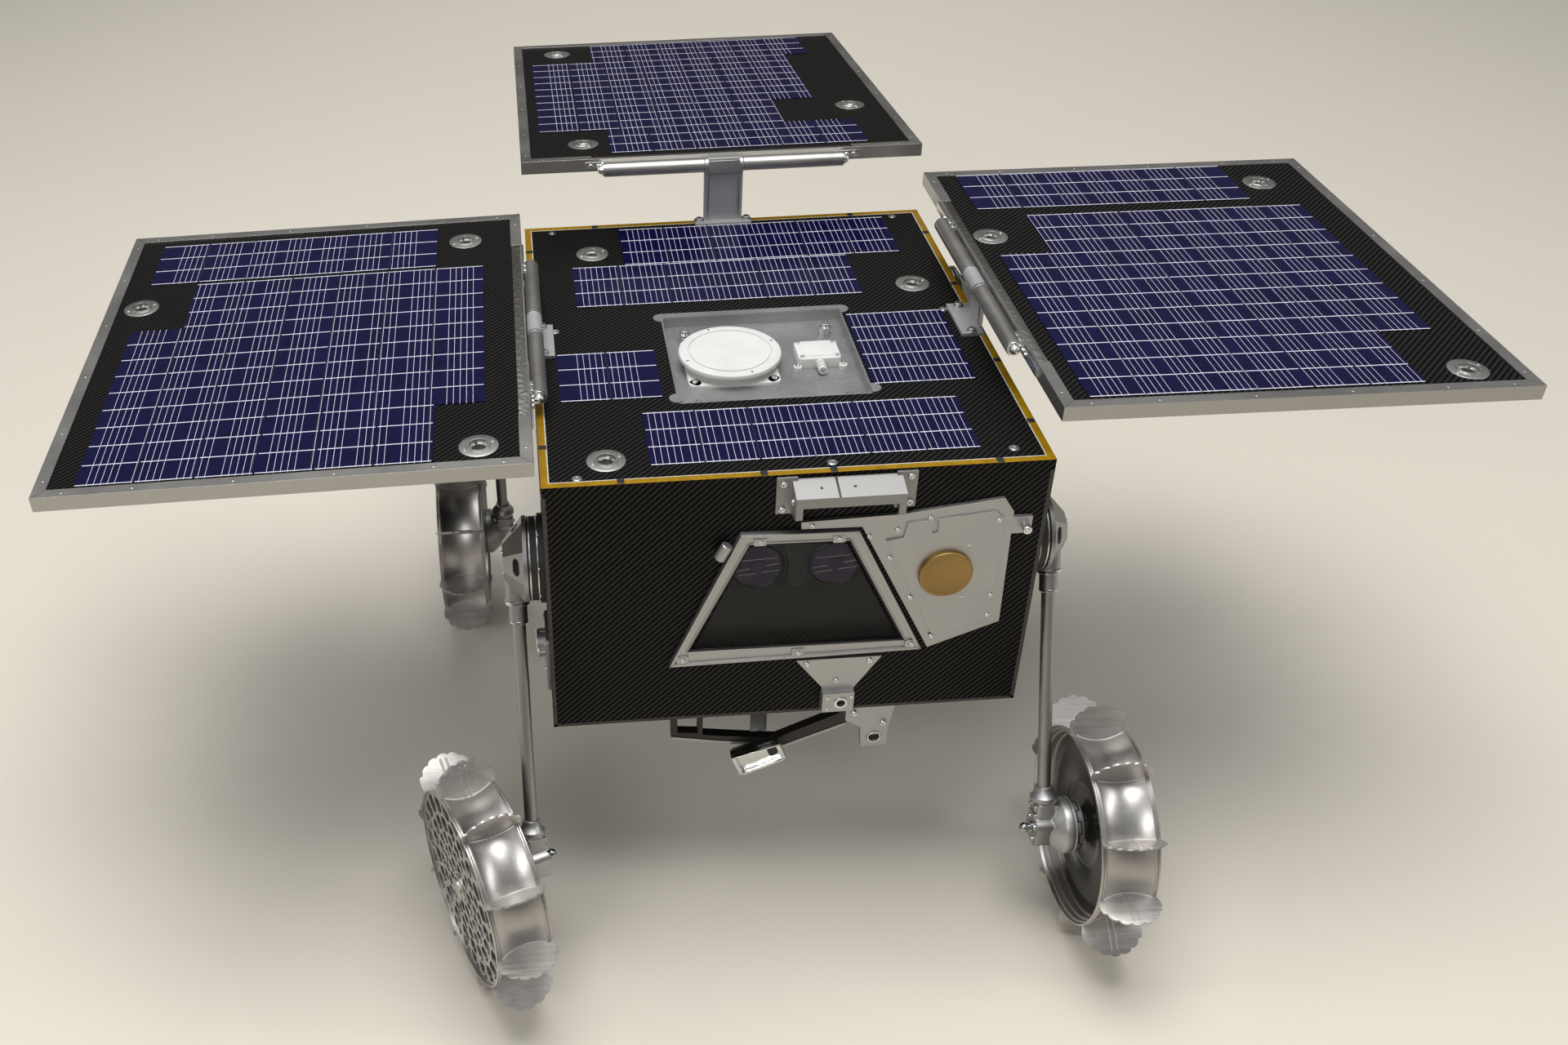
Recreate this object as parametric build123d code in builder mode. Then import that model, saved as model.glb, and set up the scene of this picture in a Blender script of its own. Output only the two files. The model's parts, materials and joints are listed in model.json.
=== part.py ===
from build123d import *
import os
from math import asin, cos, degrees, pi, radians, sin

# Small four-legged planetary rover: a carbon-fibre box on four wheeled legs,
# with three solar panels hinged to the edges of its lid. Millimetres. X is
# across (the rover's own left is +X), the front faces -Y, Z is up from the
# ground, and the origin lies under the middle of the whole.

# Box of the body
body_width = 354.0
body_depth = 410.0
body_height = 220.0
wall = 8.0
seat_clearance = 0.05

# Wheels: a waisted rim with flat petals round it, a dish on its inner side
# and a lattice face on its outer side. A petal's tip is an arc of scallops
# between two corners, and two ridges run up one of its faces.
petal_count = 10
petal_tip_radius = 101.0
petal_corner_radius = 90.0
petal_corner_reach = 20.5
petal_side_radius = 84.0
petal_thickness = 1.6
petal_width = 46.0
scallop_count = 5
scallop_depth = 1.8
scallop_crest = 0.56
ridge_spacing = 4.4
ridge_width = 1.4
ridge_height = 0.8
ridge_tip_radius = 97.0
rim_width = 44.0
rim_lip_radius = 77.0
rim_lip_width = 3.0
rim_waist_radius = 71.0
rim_flats = 4
rim_skin = 1.6
dish_thickness = 1.6
dish_setback = 5.0
hub_boss_radius = 12.0
hub_boss_length = 8.0
hub_shaft_radius = 7.0
running_clearance = 0.05
face_thickness = 2.4
face_inset = 2.0
face_nut_radius = 9.0
face_nut_height = 4.0

# Legs: a shoulder disc on the box, a cone that turns on it, a tube, and a
# drive unit with the wheel's shaft
leg_length = 239.2
front_lean = 22.5
front_shoulder_inset = 42.0
front_shoulder_drop = 90.0
rear_axle_shift = 16.0
front_stand_off = 21.4
rear_stand_off = 37.0
parked_wheel_twist = 21.6
wheel_offset = 40.0
shoulder_radius = 33.0
shoulder_base_thickness = 4.0
shoulder_disc_thickness = 8.0
shoulder_disc_step = 2.0
turning_gap = 0.3
cone_lip = 3.0
cone_step = 1.0
cone_height = 18.0
cone_top_radius = 14.0
cone_side_count = 8
cone_recess_length = 13.0
cone_recess_width = 7.0
cone_recess_depth = 2.5
cone_recess_share = 0.36
leg_boss_radius = 8.5
leg_boss_length = 34.0
ferrule_radius = 6.75
ferrule_length = 14.0
leg_tube_radius = 5.0
leg_tube_bore_radius = 3.6
collar_above_axle = 34.0
collar_top_radius = 6.6
collar_radius = 10.5
collar_flare_length = 8.0
collar_length = 12.0
clamp_width = 15.0
clamp_depth = 19.0

# Drive unit at the axle, told along the axle outward from the leg's line
drive_block_inner = -9.0
drive_block_outer = 6.0
drive_block_width = 24.0
drive_block_corner = 4.0
drive_cone_start = 2.0
drive_cone_radius = 13.0
drive_can_start = 12.0
drive_can_radius = 22.0
drive_can_end = 20.0
drive_flange_radius = 20.0
drive_flange_end = 26.0
ball_nut_radius = 4.0
ball_nut_stem = 2.0
ball_nut_stem_radius = 3.2

# Solar panels
side_panel_shortfall = 19.5
side_panel_start = 2.0
side_panel_rear_gap = 11.0
side_panel_span = body_width - side_panel_shortfall
side_panel_length = body_depth - side_panel_start - side_panel_rear_gap
back_panel_span = body_depth
panel_thickness = 11.0
channel_flange = 9.0
channel_web = 1.5
channel_skin = 1.2
corner_leg = 62.0
cell_thickness = 0.6
right_droop = 1.0
left_droop = 0.65
back_droop = 4.8

# Hold-down cups, on the lid and on each panel over one another when folded
cup_flange_radius = 13.9
cup_flange_height = 1.5
cup_body_radius = 10.5
cup_recess_radius = 8.6
cup_recess_depth = 3.0
cup_bore_radius = 3.4

# Panel hinges
hinge_to_panel_edge = 6.5
hinge_tube_radius = 6.2
hinge_tube_length = 210.0
hinge_pin_radius = 3.0
hinge_knuckle_length = 34.0
hinge_end_gap = 0.4
hinge_arm_length = 18.0
hinge_arm_height = 7.0
hinge_foot_width = 50.0
hinge_foot_thickness = 2.5
right_hinge_height = 14.5
left_hinge_height = 34.0
back_hinge_height = 53.5
right_hinge_inset = 3.0
left_hinge_inset = 7.0
back_hinge_inset = 3.0

# The box's height and place over the ground. Two petals of each wheel stand
# on the ground, on the outer edges of their tips.
half_petal_step = pi / petal_count
axle_height = petal_tip_radius * cos(half_petal_step) + petal_thickness / 2 * sin(half_petal_step)
lid_top = axle_height + leg_length * cos(radians(front_lean)) + front_shoulder_drop
body_bottom = lid_top - body_height
wall_bottom = body_bottom + wall
wall_top = lid_top - wall
rear_lean = degrees(asin(rear_axle_shift / leg_length))
rear_shoulder_height = axle_height + leg_length * cos(radians(rear_lean))

twist_angle = radians(parked_wheel_twist)
front_axle_reach = leg_length * sin(radians(front_lean)) - front_shoulder_inset
front_reach = (
    front_axle_reach
    + wheel_offset * sin(twist_angle)
    + petal_tip_radius * cos(twist_angle)
    + petal_width / 2 * sin(twist_angle)
)
back_reach = (
    body_depth - back_hinge_inset
    + (hinge_to_panel_edge + back_panel_span) * cos(radians(back_droop))
)
front_y = (front_reach - back_reach) / 2
rear_y = front_y + body_depth
right_x = -body_width / 2
left_x = body_width / 2

os.makedirs("parts", exist_ok=True)


def keep(name, solid):
    solid.label = name
    export_step(solid, "parts/" + name + ".step")


# A place on the lid is told from its right and front edges, as shares of the
# box's width and depth. A place on the front is told from its right edge and
# up from the lid's top, as shares of the box's width and height.
def on_lid(across, back):
    return (right_x + across * body_width, front_y + back * body_depth)


def on_front(across, height):
    return (right_x + across * body_width, lid_top + height * body_height)


def front_outline(corners):
    return [on_front(across, height) for across, height in corners]


lid_plane = Plane.XY.offset(lid_top)
front_plane = Plane(origin=(0, front_y, 0), x_dir=(1, 0, 0), z_dir=(0, -1, 0))

# Columns: across, back, as shares of the lid
cup_places = [(0.131, 0.072), (0.161, 0.861), (0.895, 0.654)]

# Antenna tray, sunk in the lid
tray_across = 0.499
tray_back = 0.401
tray_width = 0.41 * body_width
tray_length = 0.317 * body_depth
tray_depth = 9.5
tray_sheet = 1.5
tray_flange = 6.0
tray_x, tray_y = on_lid(tray_across, tray_back)
tray_floor = lid_top - tray_depth + tray_sheet

# Front window. Corners: across, height, as shares of the front
window_corners = [(0.387, -0.209), (0.621, -0.218), (0.777, -0.727), (0.246, -0.741)]
window_rail = 9.0
window_ledge = 3.0
window_frame_height = 4.0
glass_thickness = 2.5


def window_shape(inset):
    with BuildSketch(mode=Mode.PRIVATE) as shape:
        with BuildLine():
            Polyline(front_outline(window_corners), close=True)
        make_face()
        if inset > 0:
            offset(amount=-inset, kind=Kind.INTERSECTION, mode=Mode.REPLACE)
    return shape.sketch


# Walls, floor and lid
with BuildPart() as floor:
    with BuildSketch(Plane.XY.offset(body_bottom)):
        with Locations((0, front_y + body_depth / 2)):
            Rectangle(body_width, body_depth)
    extrude(amount=wall)
keep("body_floor", floor.part)

with BuildPart() as lid:
    with BuildSketch(lid_plane.offset(-wall)):
        with Locations((0, front_y + body_depth / 2)):
            Rectangle(body_width, body_depth)
        with Locations((tray_x, tray_y)):
            Rectangle(tray_width, tray_length, mode=Mode.SUBTRACT)
        with Locations([on_lid(across, back) for across, back in cup_places]):
            Circle(cup_body_radius + seat_clearance, mode=Mode.SUBTRACT)
    extrude(amount=wall)
keep("body_lid", lid.part)

for name, middle_x in [("body_right_wall", right_x + wall / 2), ("body_left_wall", left_x - wall / 2)]:
    with BuildPart() as side_wall:
        with BuildSketch(Plane.XY.offset(wall_bottom)):
            with Locations((middle_x, front_y + body_depth / 2)):
                Rectangle(wall, body_depth)
        extrude(amount=wall_top - wall_bottom)
    keep(name, side_wall.part)

with BuildPart() as rear_wall:
    with BuildSketch(Plane.XY.offset(wall_bottom)):
        with Locations((0, rear_y - wall / 2)):
            Rectangle(body_width - 2 * wall, wall)
    extrude(amount=wall_top - wall_bottom)
keep("body_rear_wall", rear_wall.part)

with BuildPart() as front_wall:
    with BuildSketch(front_plane):
        with Locations((0, (wall_bottom + wall_top) / 2)):
            Rectangle(body_width - 2 * wall, wall_top - wall_bottom)
        add(window_shape(window_rail + window_ledge), mode=Mode.SUBTRACT)
    extrude(amount=-wall)
keep("body_front_wall", front_wall.part)

# Batteries and electronics, the one heavy mass inside
core_side_gap = 57.0
core_setback = 90.0
core_rear_gap = 40.0
core_headroom = 70.0
core_width = body_width - 2 * core_side_gap
core_length = body_depth - core_setback - core_rear_gap
core_height = body_height - core_headroom
with BuildPart() as core:
    with BuildSketch(Plane.XY.offset(wall_bottom)):
        with Locations((0, front_y + core_setback + core_length / 2)):
            Rectangle(core_width, core_length)
    extrude(amount=core_height)
keep("electronics_block", core.part)

# Window frame, its glass, and the two hooded cameras behind it
frame_tab = 11.0
frame_tab_places = [(0.362, -0.259), (0.251, -0.682)]
with BuildPart() as window_frame:
    with BuildSketch(front_plane):
        add(window_shape(0))
        with Locations([on_front(across, height) for across, height in frame_tab_places]):
            Rectangle(frame_tab, frame_tab)
        add(window_shape(window_rail), mode=Mode.SUBTRACT)
    extrude(amount=window_frame_height)
keep("window_frame", window_frame.part)

with BuildPart() as glass:
    with BuildSketch(front_plane):
        add(window_shape(window_rail + seat_clearance))
    extrude(amount=glass_thickness)
keep("window_glass", glass.part)

camera_setback = 24.0
camera_plate_thickness = 3.0
camera_plate_width = 0.554 * body_width
camera_plate_height = 0.5 * body_height
camera_plate_middle = (0.517, -0.477)
camera_hood_length = 16.0
camera_hood_width = 37.0
camera_hood_height = 26.0
camera_hood_wall = 2.0
camera_lens_radius = 8.5
camera_lens_length = 9.0
camera_stay_width = 8.0
camera_places = [on_front(0.427, -0.377), on_front(0.588, -0.382)]
camera_plane = front_plane.offset(-camera_setback)
with BuildPart() as cameras:
    with BuildSketch(camera_plane):
        with Locations(on_front(*camera_plate_middle)):
            Rectangle(camera_plate_width, camera_plate_height)
    extrude(amount=-camera_plate_thickness)
    with BuildSketch(camera_plane):
        with Locations(camera_places):
            SlotOverall(camera_hood_width, camera_hood_height)
            SlotOverall(
                camera_hood_width - 2 * camera_hood_wall,
                camera_hood_height - 2 * camera_hood_wall,
                mode=Mode.SUBTRACT,
            )
    extrude(amount=camera_hood_length)
    with BuildSketch(camera_plane):
        with Locations(camera_places):
            Circle(camera_lens_radius)
    extrude(amount=camera_lens_length)
    stay_spacing = camera_plate_width - camera_stay_width
    with BuildSketch(camera_plane):
        with Locations(on_front(*camera_plate_middle)):
            with GridLocations(stay_spacing, 0, 2, 1):
                Rectangle(camera_stay_width, camera_plate_height)
    extrude(amount=camera_setback - wall)
keep("camera_pair", cameras.part)

# Sensor cover beside the window, with an arm over the window's corner, a
# raised panel and a round sensor
cover_thickness = 3.0
cover_panel_thickness = 1.5
cover_corners = [
    (0.506, -0.176), (0.507, -0.203), (0.628, -0.207), (0.790, -0.727), (0.935, -0.632), (0.929, -0.182),
    (0.907, -0.127), (0.712, -0.166),
]
cover_panel_corners = [
    (0.678, -0.264), (0.712, -0.255), (0.718, -0.200), (0.893, -0.173), (0.910, -0.200), (0.915, -0.605),
    (0.799, -0.682),
]
cover_ear_place = (0.949, -0.236)
cover_ear_size = 0.04 * body_width
front_pin_radius = 3.2
front_pin_length = 7.0
cover_pin_place = (0.955, -0.236)
slot_place = (0.774, -0.218)
slot_length = 12.0
slot_width = 4.0
with BuildPart() as sensor_cover:
    with BuildSketch(front_plane):
        with BuildLine():
            Polyline(front_outline(cover_corners), close=True)
        make_face()
        with Locations(on_front(*cover_ear_place)):
            Rectangle(cover_ear_size, cover_ear_size)
    extrude(amount=cover_thickness)
    with BuildSketch(front_plane.offset(cover_thickness)):
        with BuildLine():
            Polyline(front_outline(cover_panel_corners), close=True)
        make_face()
    extrude(amount=cover_panel_thickness)
    with BuildSketch(front_plane.offset(cover_thickness + cover_panel_thickness)):
        with Locations(on_front(*slot_place)):
            SlotOverall(slot_length, slot_width, rotation=90)
    extrude(amount=-cover_panel_thickness, mode=Mode.SUBTRACT)
    with BuildSketch(front_plane.offset(cover_thickness)):
        with Locations(on_front(*cover_pin_place)):
            Circle(front_pin_radius)
    extrude(amount=front_pin_length)
keep("sensor_cover", sensor_cover.part)

sensor_place = (0.805, -0.405)
sensor_radius = 19.5
sensor_thickness = 4.0
sensor_edge = 1.0
sensor_plane = front_plane.offset(cover_thickness + cover_panel_thickness)
with BuildPart() as sensor_disc:
    with BuildSketch(sensor_plane):
        with Locations(on_front(*sensor_place)):
            Circle(sensor_radius)
    extrude(amount=sensor_thickness)
    chamfer(sensor_disc.faces().sort_by(Axis.Y)[0].edges(), length=sensor_edge)
keep("sensor_disc", sensor_disc.part)

# Hood bracket under the lid's front edge: two flanges on the front wall, two
# cheeks, a roof that slopes a little, and a nose plate cut out at its foot
hood_low = 0.454 * body_width
hood_high = 0.729 * body_width
hood_top = -0.007 * body_height
hood_bottom = -0.141 * body_height
hood_flange_width = 14.5
hood_cheek_inset = 10.7
hood_sheet = 2.0
hood_out = 19.0
hood_roof_top = hood_top - 2.0
hood_nose_top = hood_top - 6.5
hood_nose_bottom = hood_bottom + 5.5
hood_cut_top = hood_nose_bottom + 9.5
hood_nose_leg = 5.0
hood_inner_low = hood_low + hood_cheek_inset
hood_inner_high = hood_high - hood_cheek_inset
hood_cheek = [(0.0, hood_roof_top), (hood_out, hood_nose_top), (hood_out, hood_nose_bottom), (0.0, hood_bottom)]
hood_roof = [
    (0.0, hood_roof_top), (hood_out, hood_nose_top), (hood_out, hood_nose_top - hood_sheet),
    (0.0, hood_roof_top - hood_sheet),
]
hood_nose = [
    (hood_inner_low, hood_nose_bottom), (hood_inner_low, hood_nose_top), (hood_inner_high, hood_nose_top),
    (hood_inner_high, hood_nose_bottom), (hood_inner_high - hood_nose_leg, hood_nose_bottom),
    (hood_inner_high - hood_nose_leg, hood_cut_top), (hood_inner_low + hood_nose_leg, hood_cut_top),
    (hood_inner_low + hood_nose_leg, hood_nose_bottom),
]


# A plane across the rover, in which x runs forward from the front face
def cheek_plane(across):
    return Plane(origin=(right_x + across, front_y, lid_top), x_dir=(0, -1, 0), z_dir=(-1, 0, 0))


with BuildPart() as hood:
    with BuildSketch(front_plane):
        for middle in [hood_low + hood_flange_width / 2, hood_high - hood_flange_width / 2]:
            with Locations((right_x + middle, lid_top + (hood_top + hood_bottom) / 2)):
                Rectangle(hood_flange_width, hood_top - hood_bottom)
    extrude(amount=hood_sheet)
    for across in [hood_inner_low + hood_sheet, hood_inner_high]:
        with BuildSketch(cheek_plane(across)):
            with BuildLine():
                Polyline(hood_cheek, close=True)
            make_face()
        extrude(amount=hood_sheet)
    with BuildSketch(cheek_plane(hood_inner_high)):
        with BuildLine():
            Polyline(hood_roof, close=True)
        make_face()
    extrude(amount=hood_inner_high - hood_inner_low)
    with BuildSketch(front_plane.offset(hood_out)):
        with BuildLine():
            Polyline([(right_x + across, lid_top + height) for across, height in hood_nose], close=True)
        make_face()
    extrude(amount=-hood_sheet)
keep("hood_bracket", hood.part)

# Foot bracket under the window: a tapering plate with an eyed block
foot_corners = [
    (0.514, -0.750), (0.695, -0.750), (0.641, -0.886), (0.641, -0.973), (0.573, -0.973), (0.573, -0.877),
]
foot_sheet = 4.0
foot_block_place = (0.607, -0.932)
foot_block_width = 24.0
foot_block_height = 18.0
foot_block_out = 9.0
foot_eye_radius = 3.2
foot_eye_place = (0.613, -0.932)
with BuildPart() as foot_bracket:
    with BuildSketch(front_plane):
        with BuildLine():
            Polyline(front_outline(foot_corners), close=True)
        make_face()
    extrude(amount=foot_sheet)
    with BuildSketch(front_plane.offset(foot_sheet)):
        with Locations(on_front(*foot_block_place)):
            Rectangle(foot_block_width, foot_block_height)
    extrude(amount=foot_block_out - foot_sheet)
    with BuildSketch(front_plane.offset(foot_block_out)):
        with Locations(on_front(*foot_eye_place)):
            Circle(foot_eye_radius)
    extrude(amount=-foot_block_out, mode=Mode.SUBTRACT)
keep("foot_bracket", foot_bracket.part)


# Under the box: a looped strap, a tilted pad on a stem and an eyed bracket,
# each told by its setback from the front face, its depth and its outline
def belly_plane(setback):
    return Plane(origin=(0, front_y + setback, 0), x_dir=(1, 0, 0), z_dir=(0, -1, 0))


bar_setback = 30.0
bar_depth = 8.0
bar_corners = [
    (0.262, -1.000), (0.262, -1.223), (0.373, -1.258), (0.520, -1.297), (0.658, -1.205), (0.672, -1.000),
    (0.645, -1.000), (0.640, -1.150), (0.500, -1.255), (0.373, -1.225), (0.333, -1.214), (0.333, -1.000),
    (0.322, -1.000), (0.322, -1.205), (0.276, -1.196), (0.276, -1.000),
]
with BuildPart() as belly_bar:
    with BuildSketch(belly_plane(bar_setback)):
        with BuildLine():
            Polyline(front_outline(bar_corners), close=True)
        make_face()
    extrude(amount=-bar_depth)
keep("belly_bar", belly_bar.part)

pad_setback = 14.0
pad_depth = 12.0
pad_slot_place = (0.492, -1.262)
pad_slot_length = 10.0
pad_slot_width = 6.0
pad_corners = [
    (0.435, -1.000), (0.435, -1.265), (0.390, -1.275), (0.415, -1.368), (0.520, -1.293), (0.500, -1.215),
    (0.478, -1.225), (0.478, -1.000),
]
with BuildPart() as belly_pad:
    with BuildSketch(belly_plane(pad_setback)):
        with BuildLine():
            Polyline(front_outline(pad_corners), close=True)
        make_face()
        with Locations(on_front(*pad_slot_place)):
            SlotOverall(pad_slot_length, pad_slot_width, rotation=90, mode=Mode.SUBTRACT)
    extrude(amount=-pad_depth)
keep("belly_pad", belly_pad.part)

eye_bracket_setback = 14.0
eye_bracket_depth = 6.0
eye_slot_place = (0.712, -1.205)
eye_slot_length = 12.0
eye_slot_width = 8.0
eye_bracket_corners = [
    (0.644, -1.000), (0.644, -1.118), (0.679, -1.155), (0.684, -1.250), (0.742, -1.250), (0.742, -1.160),
    (0.753, -1.060), (0.753, -1.000),
]
with BuildPart() as belly_eye:
    with BuildSketch(belly_plane(eye_bracket_setback)):
        with BuildLine():
            Polyline(front_outline(eye_bracket_corners), close=True)
        make_face()
        with Locations(on_front(*eye_slot_place)):
            SlotOverall(eye_slot_length, eye_slot_width, mode=Mode.SUBTRACT)
    extrude(amount=-eye_bracket_depth)
keep("belly_eye_bracket", belly_eye.part)

# Connectors low on both sides near the front, with a hanging tag
connector_inset = 40.0
connector_height = -0.768 * body_height
connector_plate_width = 40.0
connector_plate_height = 33.0
connector_sheet = 2.5
connector_corner = 3.0
connector_radius = 11.0
connector_out = 9.0
tag_width = 9.0
tag_bottom = -0.973 * body_height
with BuildPart() as connectors:
    for side in (-1, 1):
        side_plane = Plane(
            origin=(side * body_width / 2, front_y + connector_inset, lid_top),
            x_dir=(0, side, 0), z_dir=(side, 0, 0),
        )
        with BuildSketch(side_plane):
            with Locations((0, connector_height)):
                RectangleRounded(connector_plate_width, connector_plate_height, connector_corner)
            with Locations((0, (connector_height + tag_bottom) / 2)):
                Rectangle(tag_width, connector_height - tag_bottom)
        extrude(amount=connector_sheet)
        with BuildSketch(side_plane.offset(connector_sheet)):
            with Locations((0, connector_height)):
                Circle(connector_radius)
        extrude(amount=connector_out - connector_sheet)
keep("side_connectors", connectors.part)

# Solar cells on the lid, on both sides of the tray.
# Columns: across low, across high, back low, back high, as shares of the lid
lid_cell_blocks = [
    (0.234, 0.904, 0.800, 0.969),
    (0.107, 0.771, 0.624, 0.796),
    (0.051, 0.266, 0.268, 0.437),
    (0.709, 0.927, 0.273, 0.537),
    (0.215, 0.867, 0.049, 0.215),
]
with BuildPart() as lid_cells:
    with BuildSketch(lid_plane):
        for across_low, across_high, back_low, back_high in lid_cell_blocks:
            with Locations(on_lid((across_low + across_high) / 2, (back_low + back_high) / 2)):
                Rectangle((across_high - across_low) * body_width, (back_high - back_low) * body_depth)
    extrude(amount=cell_thickness)
keep("lid_solar_cells", lid_cells.part)


# Flanged rings let into a plate whose top lies in the given plane
def make_cups(name, plane, places, depth):
    with BuildPart() as cups:
        with BuildSketch(plane.offset(-depth)):
            with Locations(places):
                Circle(cup_body_radius)
        extrude(amount=depth)
        with BuildSketch(plane):
            with Locations(places):
                Circle(cup_flange_radius)
        extrude(amount=cup_flange_height)
        with BuildSketch(plane.offset(cup_flange_height)):
            with Locations(places):
                Circle(cup_recess_radius)
        extrude(amount=-cup_recess_depth, mode=Mode.SUBTRACT)
        with BuildSketch(plane.offset(cup_flange_height)):
            with Locations(places):
                Circle(cup_bore_radius)
        extrude(amount=-depth - cup_flange_height, mode=Mode.SUBTRACT)
    keep(name, cups.part)


make_cups("lid_cups", lid_plane, [on_lid(across, back) for across, back in cup_places], wall)

# The tray with its rear lip and its two front tabs on the lid, and the two
# antennas in it
with BuildPart() as tray:
    with BuildSketch(lid_plane.offset(-tray_depth)):
        with Locations((tray_x, tray_y)):
            Rectangle(tray_width - 2 * seat_clearance, tray_length - 2 * seat_clearance)
    extrude(amount=tray_depth)
    with BuildSketch(lid_plane):
        with Locations((tray_x, tray_y + tray_length / 2)):
            SlotOverall(tray_width + 2 * tray_flange, 2 * tray_flange)
        with Locations((tray_x, tray_y - tray_length / 2 + tray_flange)):
            with GridLocations(tray_width, 0, 2, 1):
                Circle(tray_flange)
    extrude(amount=tray_sheet)
    with BuildSketch(Plane.XY.offset(tray_floor)):
        with Locations((tray_x, tray_y)):
            Rectangle(tray_width - 2 * tray_sheet, tray_length - 2 * tray_sheet)
    extrude(amount=tray_depth, mode=Mode.SUBTRACT)
keep("antenna_tray", tray.part)

patch_base = 0.482 * tray_width
patch_base_corner = 8.0
patch_base_height = 3.0
patch_neck_radius = 0.241 * tray_width
patch_neck_height = 4.0
patch_radius = 0.272 * tray_width
patch_height = 5.0
patch_edge = 1.2
patch_place = (tray_x - 0.176 * tray_width, tray_y + 0.018 * tray_length)
with BuildPart() as patch:
    with BuildSketch(Plane.XY.offset(tray_floor)):
        with Locations(patch_place):
            RectangleRounded(patch_base, patch_base, patch_base_corner)
    extrude(amount=patch_base_height)
    with BuildSketch(Plane.XY.offset(tray_floor + patch_base_height)):
        with Locations(patch_place):
            Circle(patch_neck_radius)
    extrude(amount=patch_neck_height)
    with BuildSketch(Plane.XY.offset(tray_floor + patch_base_height + patch_neck_height)):
        with Locations(patch_place):
            Circle(patch_radius)
    extrude(amount=patch_height)
    chamfer(patch.faces().sort_by(Axis.Z)[-1].edges(), length=patch_edge)
keep("round_antenna", patch.part)

radio_width = 0.227 * tray_width
radio_length = 0.215 * tray_length
radio_height = 8.0
radio_corner = 3.0
nozzle_radius = 3.5
nozzle_length = 12.0
radio_place = (tray_x + 0.293 * tray_width, tray_y + 0.027 * tray_length)
nozzle_plane = Plane(
    origin=(radio_place[0], radio_place[1] - radio_length / 2, tray_floor + radio_height / 2),
    x_dir=(1, 0, 0), z_dir=(0, -1, 0),
)
with BuildPart() as radio:
    with BuildSketch(Plane.XY.offset(tray_floor)):
        with Locations(radio_place):
            RectangleRounded(radio_width, radio_length, radio_corner)
    extrude(amount=radio_height)
    with BuildSketch(nozzle_plane):
        Circle(nozzle_radius)
    extrude(amount=nozzle_length)
keep("small_antenna", radio.part)


# One solar panel. Its plane lies in its upper face: x runs out from the edge
# at the hinge, y along the hinge, and z out of the cells. hinge_depth is how
# far the hinge's axis lies below that face.
def make_panel(name, plane, span, length, hinge_depth, cell_outlines, cups_at):
    middle = (span / 2, length / 2)
    gap_length = length - 2 * corner_leg
    tube_start = (length - hinge_tube_length) / 2
    tube_stretch = (hinge_tube_length - hinge_knuckle_length) / 2 - hinge_end_gap
    with BuildPart() as frame:
        with BuildSketch(plane.offset(-panel_thickness)):
            with Locations(middle):
                Rectangle(span, length)
                Rectangle(span - 2 * channel_flange, length - 2 * channel_flange, mode=Mode.SUBTRACT)
            with Locations((channel_web + channel_flange / 2, length / 2)):
                Rectangle(channel_flange, gap_length, mode=Mode.SUBTRACT)
        extrude(amount=panel_thickness)
        with BuildSketch(plane.offset(-panel_thickness + channel_skin)):
            with Locations(middle):
                Rectangle(span - 2 * channel_web, length - 2 * channel_web)
        extrude(amount=panel_thickness - 2 * channel_skin, mode=Mode.SUBTRACT)
        for start, way in [(tube_start, 1), (length - tube_start, -1)]:
            tube_plane = Plane(
                origin=plane.from_local_coords((-hinge_to_panel_edge, start, -hinge_depth)),
                x_dir=plane.x_dir, z_dir=plane.y_dir * way,
            )
            with BuildSketch(tube_plane):
                Circle(hinge_tube_radius)
            extrude(amount=tube_stretch)
            with BuildSketch(tube_plane):
                with Locations(((hinge_to_panel_edge + channel_web) / 2, 0)):
                    Rectangle(hinge_to_panel_edge + channel_web, hinge_arm_height)
            extrude(amount=hinge_arm_length)
            with BuildSketch(tube_plane):
                Circle(hinge_pin_radius + running_clearance)
            extrude(amount=tube_stretch, mode=Mode.SUBTRACT)
    keep(name + "_frame", frame.part)

    with BuildPart() as plate:
        with BuildSketch(plane.offset(-panel_thickness + channel_skin)):
            with Locations(middle):
                Rectangle(span - 2 * channel_web, length - 2 * channel_web)
            with Locations(cups_at):
                Circle(cup_body_radius + seat_clearance, mode=Mode.SUBTRACT)
        extrude(amount=panel_thickness - 2 * channel_skin)
    keep(name + "_plate", plate.part)

    with BuildPart() as cells:
        with BuildSketch(plane.offset(-channel_skin)):
            for outline in cell_outlines:
                with BuildLine():
                    Polyline(outline, close=True)
                make_face()
        extrude(amount=cell_thickness)
    keep(name + "_cells", cells.part)

    make_cups(name + "_cups", plane.offset(-channel_skin), cups_at, panel_thickness - 2 * channel_skin)


# A panel's plane, from a point on the hinge's axis at the panel's starting
# end, the way out from the box, the axis's depth below its face and its droop
def panel_plane(hinge_point, outward, hinge_depth, droop):
    run = outward * cos(radians(droop)) - Vector(0, 0, sin(radians(droop)))
    rise = outward * sin(radians(droop)) + Vector(0, 0, cos(radians(droop)))
    corner = hinge_point + run * hinge_to_panel_edge + rise * hinge_depth
    return Plane(origin=corner, x_dir=run, z_dir=rise)


side_panel_front = front_y + side_panel_start
side_panel_rear = side_panel_front + side_panel_length
side_panel_middle = (side_panel_front + side_panel_rear) / 2

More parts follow.
